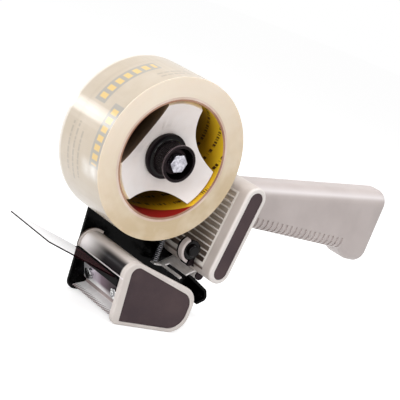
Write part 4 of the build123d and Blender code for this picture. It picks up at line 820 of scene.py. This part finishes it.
# painted sheen low on the far part
bright = add_node(tree, "ShaderNodeMapRange", {
    "Value": parts.outputs["Z"], "From Min": clamp_low.z + 4 * MM, "From Max": clamp_low.z + 1 * MM})
sheen = add_node(tree, "ShaderNodeMapRange", {"Value": across.outputs[0], "From Min": 0.9, "From Max": 0.4})
tone = painted(tree, tone.outputs[0], "#ffffff", product(tree, bright.outputs[0], sheen.outputs[0]))
shaded = add_node(tree, "ShaderNodeMix", {"Factor": lines.outputs["Fac"], "A": tone, "B": linear("#c9c2c6")},
                  data_type="RGBA", blend_type="SOFT_LIGHT")
add_node(tree, "ShaderNodeBsdfPrincipled", {
    "Base Color": shaded.outputs["Result"], "Metallic": 0.7, "Roughness": 0.35}, onto=surface)
eased("blade_clamp", clamp_steel, 0.3)

# %% [markdown]
# ## Blade
# The blade is hardened, ground steel. Its toothed lip is drawn white and almost non-metallic, a painted
# reflection of bright surroundings, with greyer comb lines every 2 mm. The strip above the bend carries
# painted shade in a browner tone, and the face's direction tells the two apart.

# %% Blade
blade_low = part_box("blade")[0]
blade_painted_reflection, tree, surface = new_material("ground_blade_steel_painted_reflection")
coords = add_node(tree, "ShaderNodeTexCoord")
facing = add_node(tree, "ShaderNodeSeparateXYZ", {0: coords.outputs["Normal"]})
drawn = add_node(tree, "ShaderNodeMapping", {"Vector": coords.outputs["Object"], "Scale": (0.15, 1.0, 0.15)})
# painted reflection: the lip is drawn white, as steel mirroring bright surroundings
tone = mottled(tree, drawn.outputs[0], {"Scale": 1600.0, "Detail": 3.0}, "#f2f0f0", "#ffffff")[1]
# painted shade: the strip above the bend is browner
strip = add_node(tree, "ShaderNodeMapRange", {
    "Value": facing.outputs["Z"], "From Min": 0.75, "From Max": 0.5})
parts = add_node(tree, "ShaderNodeSeparateXYZ", {0: coords.outputs["Object"]})
comb = add_node(tree, "ShaderNodeMath", {0: parts.outputs["Y"], 1: MM}, operation="PINGPONG")
comb = product(tree, patch(tree, comb.outputs[0], 0.6 * MM, 2 * MM, 0.2 * MM),
               patch(tree, parts.outputs["X"], blade_low.x - MM, blade_low.x + 3.2 * MM, 0.3 * MM))
colour = painted(tree, tone, "#a49c9a", comb)
colour = painted(tree, colour, "#9f8f8d", strip.outputs[0])
add_node(tree, "ShaderNodeBsdfPrincipled", {
    "Base Color": colour, "Metallic": 0.1, "Roughness": 0.35}, onto=surface)
eased("blade", blade_painted_reflection, 0.08, segments=2)

# %% [markdown]
# ## Grip block
# The block ties the grip to the plate. Its smooth sides are pale, and the slats that face the roll stand
# between deep grooves. The floors of the grooves carry painted shade, darker and browner lower down, and
# the slats' fronts a painted highlight, so the tone follows the depth: dot products measure the place
# outwards from the block's leaning middle and up along it.

# %% Block
block_low, block_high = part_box("grip_block")
BLOCK_RADIUS, GROOVE, SLAT_FACE = 8.6, 1.9, 0.35
lower = Vector((block_low.x + BLOCK_RADIUS * MM, 0, block_low.z + BLOCK_RADIUS * MM))
upper_end = Vector((block_high.x - BLOCK_RADIUS * MM, 0, block_high.z - BLOCK_RADIUS * MM))
axis = (upper_end - lower).normalized()
outward = Vector((-axis.z, 0, axis.x))
block_abs, tree, surface = new_material("pale_block_abs")
place = add_node(tree, "ShaderNodeTexCoord").outputs["Object"]
parts = add_node(tree, "ShaderNodeSeparateXYZ", {0: place})
bump = grained(tree, place, 2000.0, 0.2)[1]
tone = mottled(tree, place, {"Scale": 50.0, "Detail": 3.0}, "#c5bab3", "#cfc5bf")[1]
arm = add_node(tree, "ShaderNodeVectorMath", {0: place, 1: lower}, operation="SUBTRACT")
out = add_node(tree, "ShaderNodeVectorMath", {0: arm.outputs[0], 1: outward}, operation="DOT_PRODUCT")
out = product(tree, out.outputs["Value"], 1 / MM)
rise = add_node(tree, "ShaderNodeVectorMath", {0: arm.outputs[0], 1: axis}, operation="DOT_PRODUCT")
rise = rise.outputs["Value"]
along = patch(tree, rise, -4 * MM, (upper_end - lower).length + 0.5 * MM, 0.3 * MM)
across = patch(tree, parts.outputs["Y"], block_low.y + 9 * MM, block_high.y - 1.5 * MM, 0.3 * MM)
floors = patch(tree, out, BLOCK_RADIUS - GROOVE - 1.0, BLOCK_RADIUS - SLAT_FACE, 0.3)
fronts = patch(tree, out, BLOCK_RADIUS - SLAT_FACE, BLOCK_RADIUS + 0.6, 0.1)
grooves = product(tree, floors, along, across)
# painted highlight on the slats' fronts
colour = painted(tree, tone, "#f0e9e2", product(tree, fronts, along, across))
# painted shade on the groove floors, darkest at the lower end
groove_shade = add_node(tree, "ShaderNodeMapRange", {"Value": rise, "From Min": 0.0, "From Max": 45 * MM})
groove_shade = add_node(tree, "ShaderNodeValToRGB", {"Fac": groove_shade.outputs[0]}, [
    (0.0, "#5d4c43"), (0.35, "#a8988a"), (1.0, "#ddd3c8")])
colour = add_node(tree, "ShaderNodeMix", {"Factor": grooves, "A": colour, "B": groove_shade.outputs[0]},
                  data_type="RGBA").outputs["Result"]
rim = add_node(tree, "ShaderNodeMapRange", {
    "Value": parts.outputs["Y"], "From Min": block_low.y + 2.5 * MM, "From Max": block_low.y + 0.5 * MM})
colour = painted(tree, colour, "#e4ddd9", rim.outputs[0])
add_node(tree, "ShaderNodeBsdfPrincipled", {
    "Base Color": colour, "Roughness": 0.42, "IOR": ABS_IOR, "Normal": bump}, onto=surface)
eased("grip_block", block_abs, 0.12, segments=2)

# %% [markdown]
# ## Grip
# The grip is a hollow moulding, round on top and ribbed under the fingers. It is the largest plain surface,
# so its finish has a slow change of tone, and a painted highlight lies as a lighter band along its crown.
# Its solid is rounded already, and a narrow bevel softens the ribs.

# %% Grip
grip_abs, tree, surface = new_material("grip_abs_painted_crown_highlight")
coords = add_node(tree, "ShaderNodeTexCoord")
facing = add_node(tree, "ShaderNodeSeparateXYZ", {0: coords.outputs["Normal"]})
cloud, tone = mottled(tree, coords.outputs["Object"], {"Scale": 45.0, "Detail": 4.0}, "#bbb0ad", "#c4b9b6")
# painted highlight along the crown, on faces that tip up
colour = painted(tree, tone, "#e6dfdf", patch(tree, facing.outputs["Z"], 0.5, 0.72, 0.2))
rough = add_node(tree, "ShaderNodeMapRange", {"Value": cloud, "To Min": 0.34, "To Max": 0.46})
add_node(tree, "ShaderNodeBsdfPrincipled", {
    "Base Color": colour, "Roughness": rough.outputs[0], "IOR": ABS_IOR}, onto=surface)
eased("grip", grip_abs, 0.2, segments=2)

# %% [markdown]
# ## Screws on the far side
# Pan-head screws with a cross recess hold the mouldings to the plate. A tree makes one screw from a disc, a
# shank and a cross-shaped cutter, and sets it on each middle, measured from the solids. A bevel rounds the
# heads.

# %% Screw tree
SLOT_SHARE = 0.28    # a slot's width, as a share of the recess
screw_row, sizes = shape_tree("cross_screws", {
    "Places": "Geometry", "Head Radius": "Float", "Head Height": "Float", "Shank Radius": "Float",
    "Shank Length": "Float", "Recess": "Float", "Finish": "Material"})
head_shape = add_node(screw_row, "GeometryNodeMeshCylinder", {
    "Vertices": 32, "Radius": sizes["Head Radius"], "Depth": sizes["Head Height"]})
lift = add_node(screw_row, "ShaderNodeCombineXYZ", {"Z": product(screw_row, sizes["Head Height"], 0.5)})
raised = add_node(screw_row, "GeometryNodeTransform", {
    "Geometry": head_shape.outputs["Mesh"], "Translation": lift.outputs[0]})
top = add_node(screw_row, "ShaderNodeCombineXYZ", {"Z": sizes["Head Height"]})
narrow = product(screw_row, sizes["Recess"], SLOT_SHARE)
cut = raised
for first, second in ((sizes["Recess"], narrow), (narrow, sizes["Recess"])):
    size = add_node(screw_row, "ShaderNodeCombineXYZ", {"X": first, "Y": second, "Z": sizes["Head Height"]})
    bar = add_node(screw_row, "GeometryNodeMeshCube", {"Size": size.outputs[0]})
    cutter = add_node(screw_row, "GeometryNodeTransform", {
        "Geometry": bar.outputs["Mesh"], "Translation": top.outputs[0]})
    cut = add_node(screw_row, "GeometryNodeMeshBoolean", {
        "Mesh 1": cut.outputs[0], "Mesh 2": cutter.outputs[0]}, operation="DIFFERENCE")
shank = add_node(screw_row, "GeometryNodeMeshCylinder", {
    "Vertices": 24, "Radius": sizes["Shank Radius"], "Depth": sizes["Shank Length"]})
sink = add_node(screw_row, "ShaderNodeCombineXYZ", {"Z": product(screw_row, sizes["Shank Length"], -0.5)})
shank = add_node(screw_row, "GeometryNodeTransform", {
    "Geometry": shank.outputs["Mesh"], "Translation": sink.outputs[0]})
screw = add_node(screw_row, "GeometryNodeJoinGeometry", {0: shank.outputs[0]})
screw_row.links.new(cut.outputs[0], screw.inputs[0])    # a second link into the same socket
spots = add_node(screw_row, "GeometryNodeMeshToPoints", {"Mesh": sizes["Places"]})
turned_heads = add_node(screw_row, "FunctionNodeRandomValue", {"Max": 1.5, "Seed": 4}, data_type="FLOAT")
spin = add_node(screw_row, "ShaderNodeCombineXYZ", {"X": -pi / 2, "Y": turned_heads.outputs[1]})
screws = add_node(screw_row, "GeometryNodeInstanceOnPoints", {
    "Points": spots.outputs[0], "Instance": screw.outputs[0], "Rotation": spin.outputs[0]})
closed(screw_row, screws.outputs[0], sizes["Finish"])
print("screw nodes", len(screw_row.nodes))


# %% Set the screws
def islands(node):
    """The lowest and highest corners of each separate solid in a node."""
    bm = bmesh.new()
    bm.from_mesh(frame["nodes"][node].data)
    bmesh.ops.remove_doubles(bm, verts=bm.verts, dist=WELD)
    left, boxes = set(bm.verts), []
    while left:
        grown_over = {left.pop()}
        front = list(grown_over)
        while front:
            front = [edge.other_vert(vert) for vert in front for edge in vert.link_edges]
            front = [vert for vert in set(front) if vert not in grown_over]
            grown_over.update(front)
        left -= grown_over
        corners = list(zip(*(vert.co for vert in grown_over)))
        boxes.append((Vector(map(min, corners)), Vector(map(max, corners))))
    bm.free()
    return boxes


HEAD_HEIGHT, SHANK_RADIUS, RECESS_WIDTH, HEAD_ROUND = 2.4 * MM, 2 * MM, 4.2 * MM, 0.5 * MM
for node in ("head_screws", "block_screws", "grip_screws"):
    boxes = islands(node)
    low, high = boxes[0]
    middles = [((low.x + high.x) / 2, high.y - HEAD_HEIGHT, (low.z + high.z) / 2) for low, high in boxes]
    row = grown(node + "_cross", screw_row, {
        "Head Radius": (high.x - low.x) / 2, "Head Height": HEAD_HEIGHT, "Shank Radius": SHANK_RADIUS,
        "Shank Length": high.y - low.y - HEAD_HEIGHT, "Recess": RECESS_WIDTH,
        "Finish": bolt_zinc}, middles)
    edge = row.modifiers.new("edge", "BEVEL")
    edge.width, edge.segments, edge.limit_method, edge.angle_limit = HEAD_ROUND, 3, "ANGLE", radians(60)
    bake(row)
    settle(row, node)
    print(node, "screws", len(boxes), "faces", len(row.data.polygons))
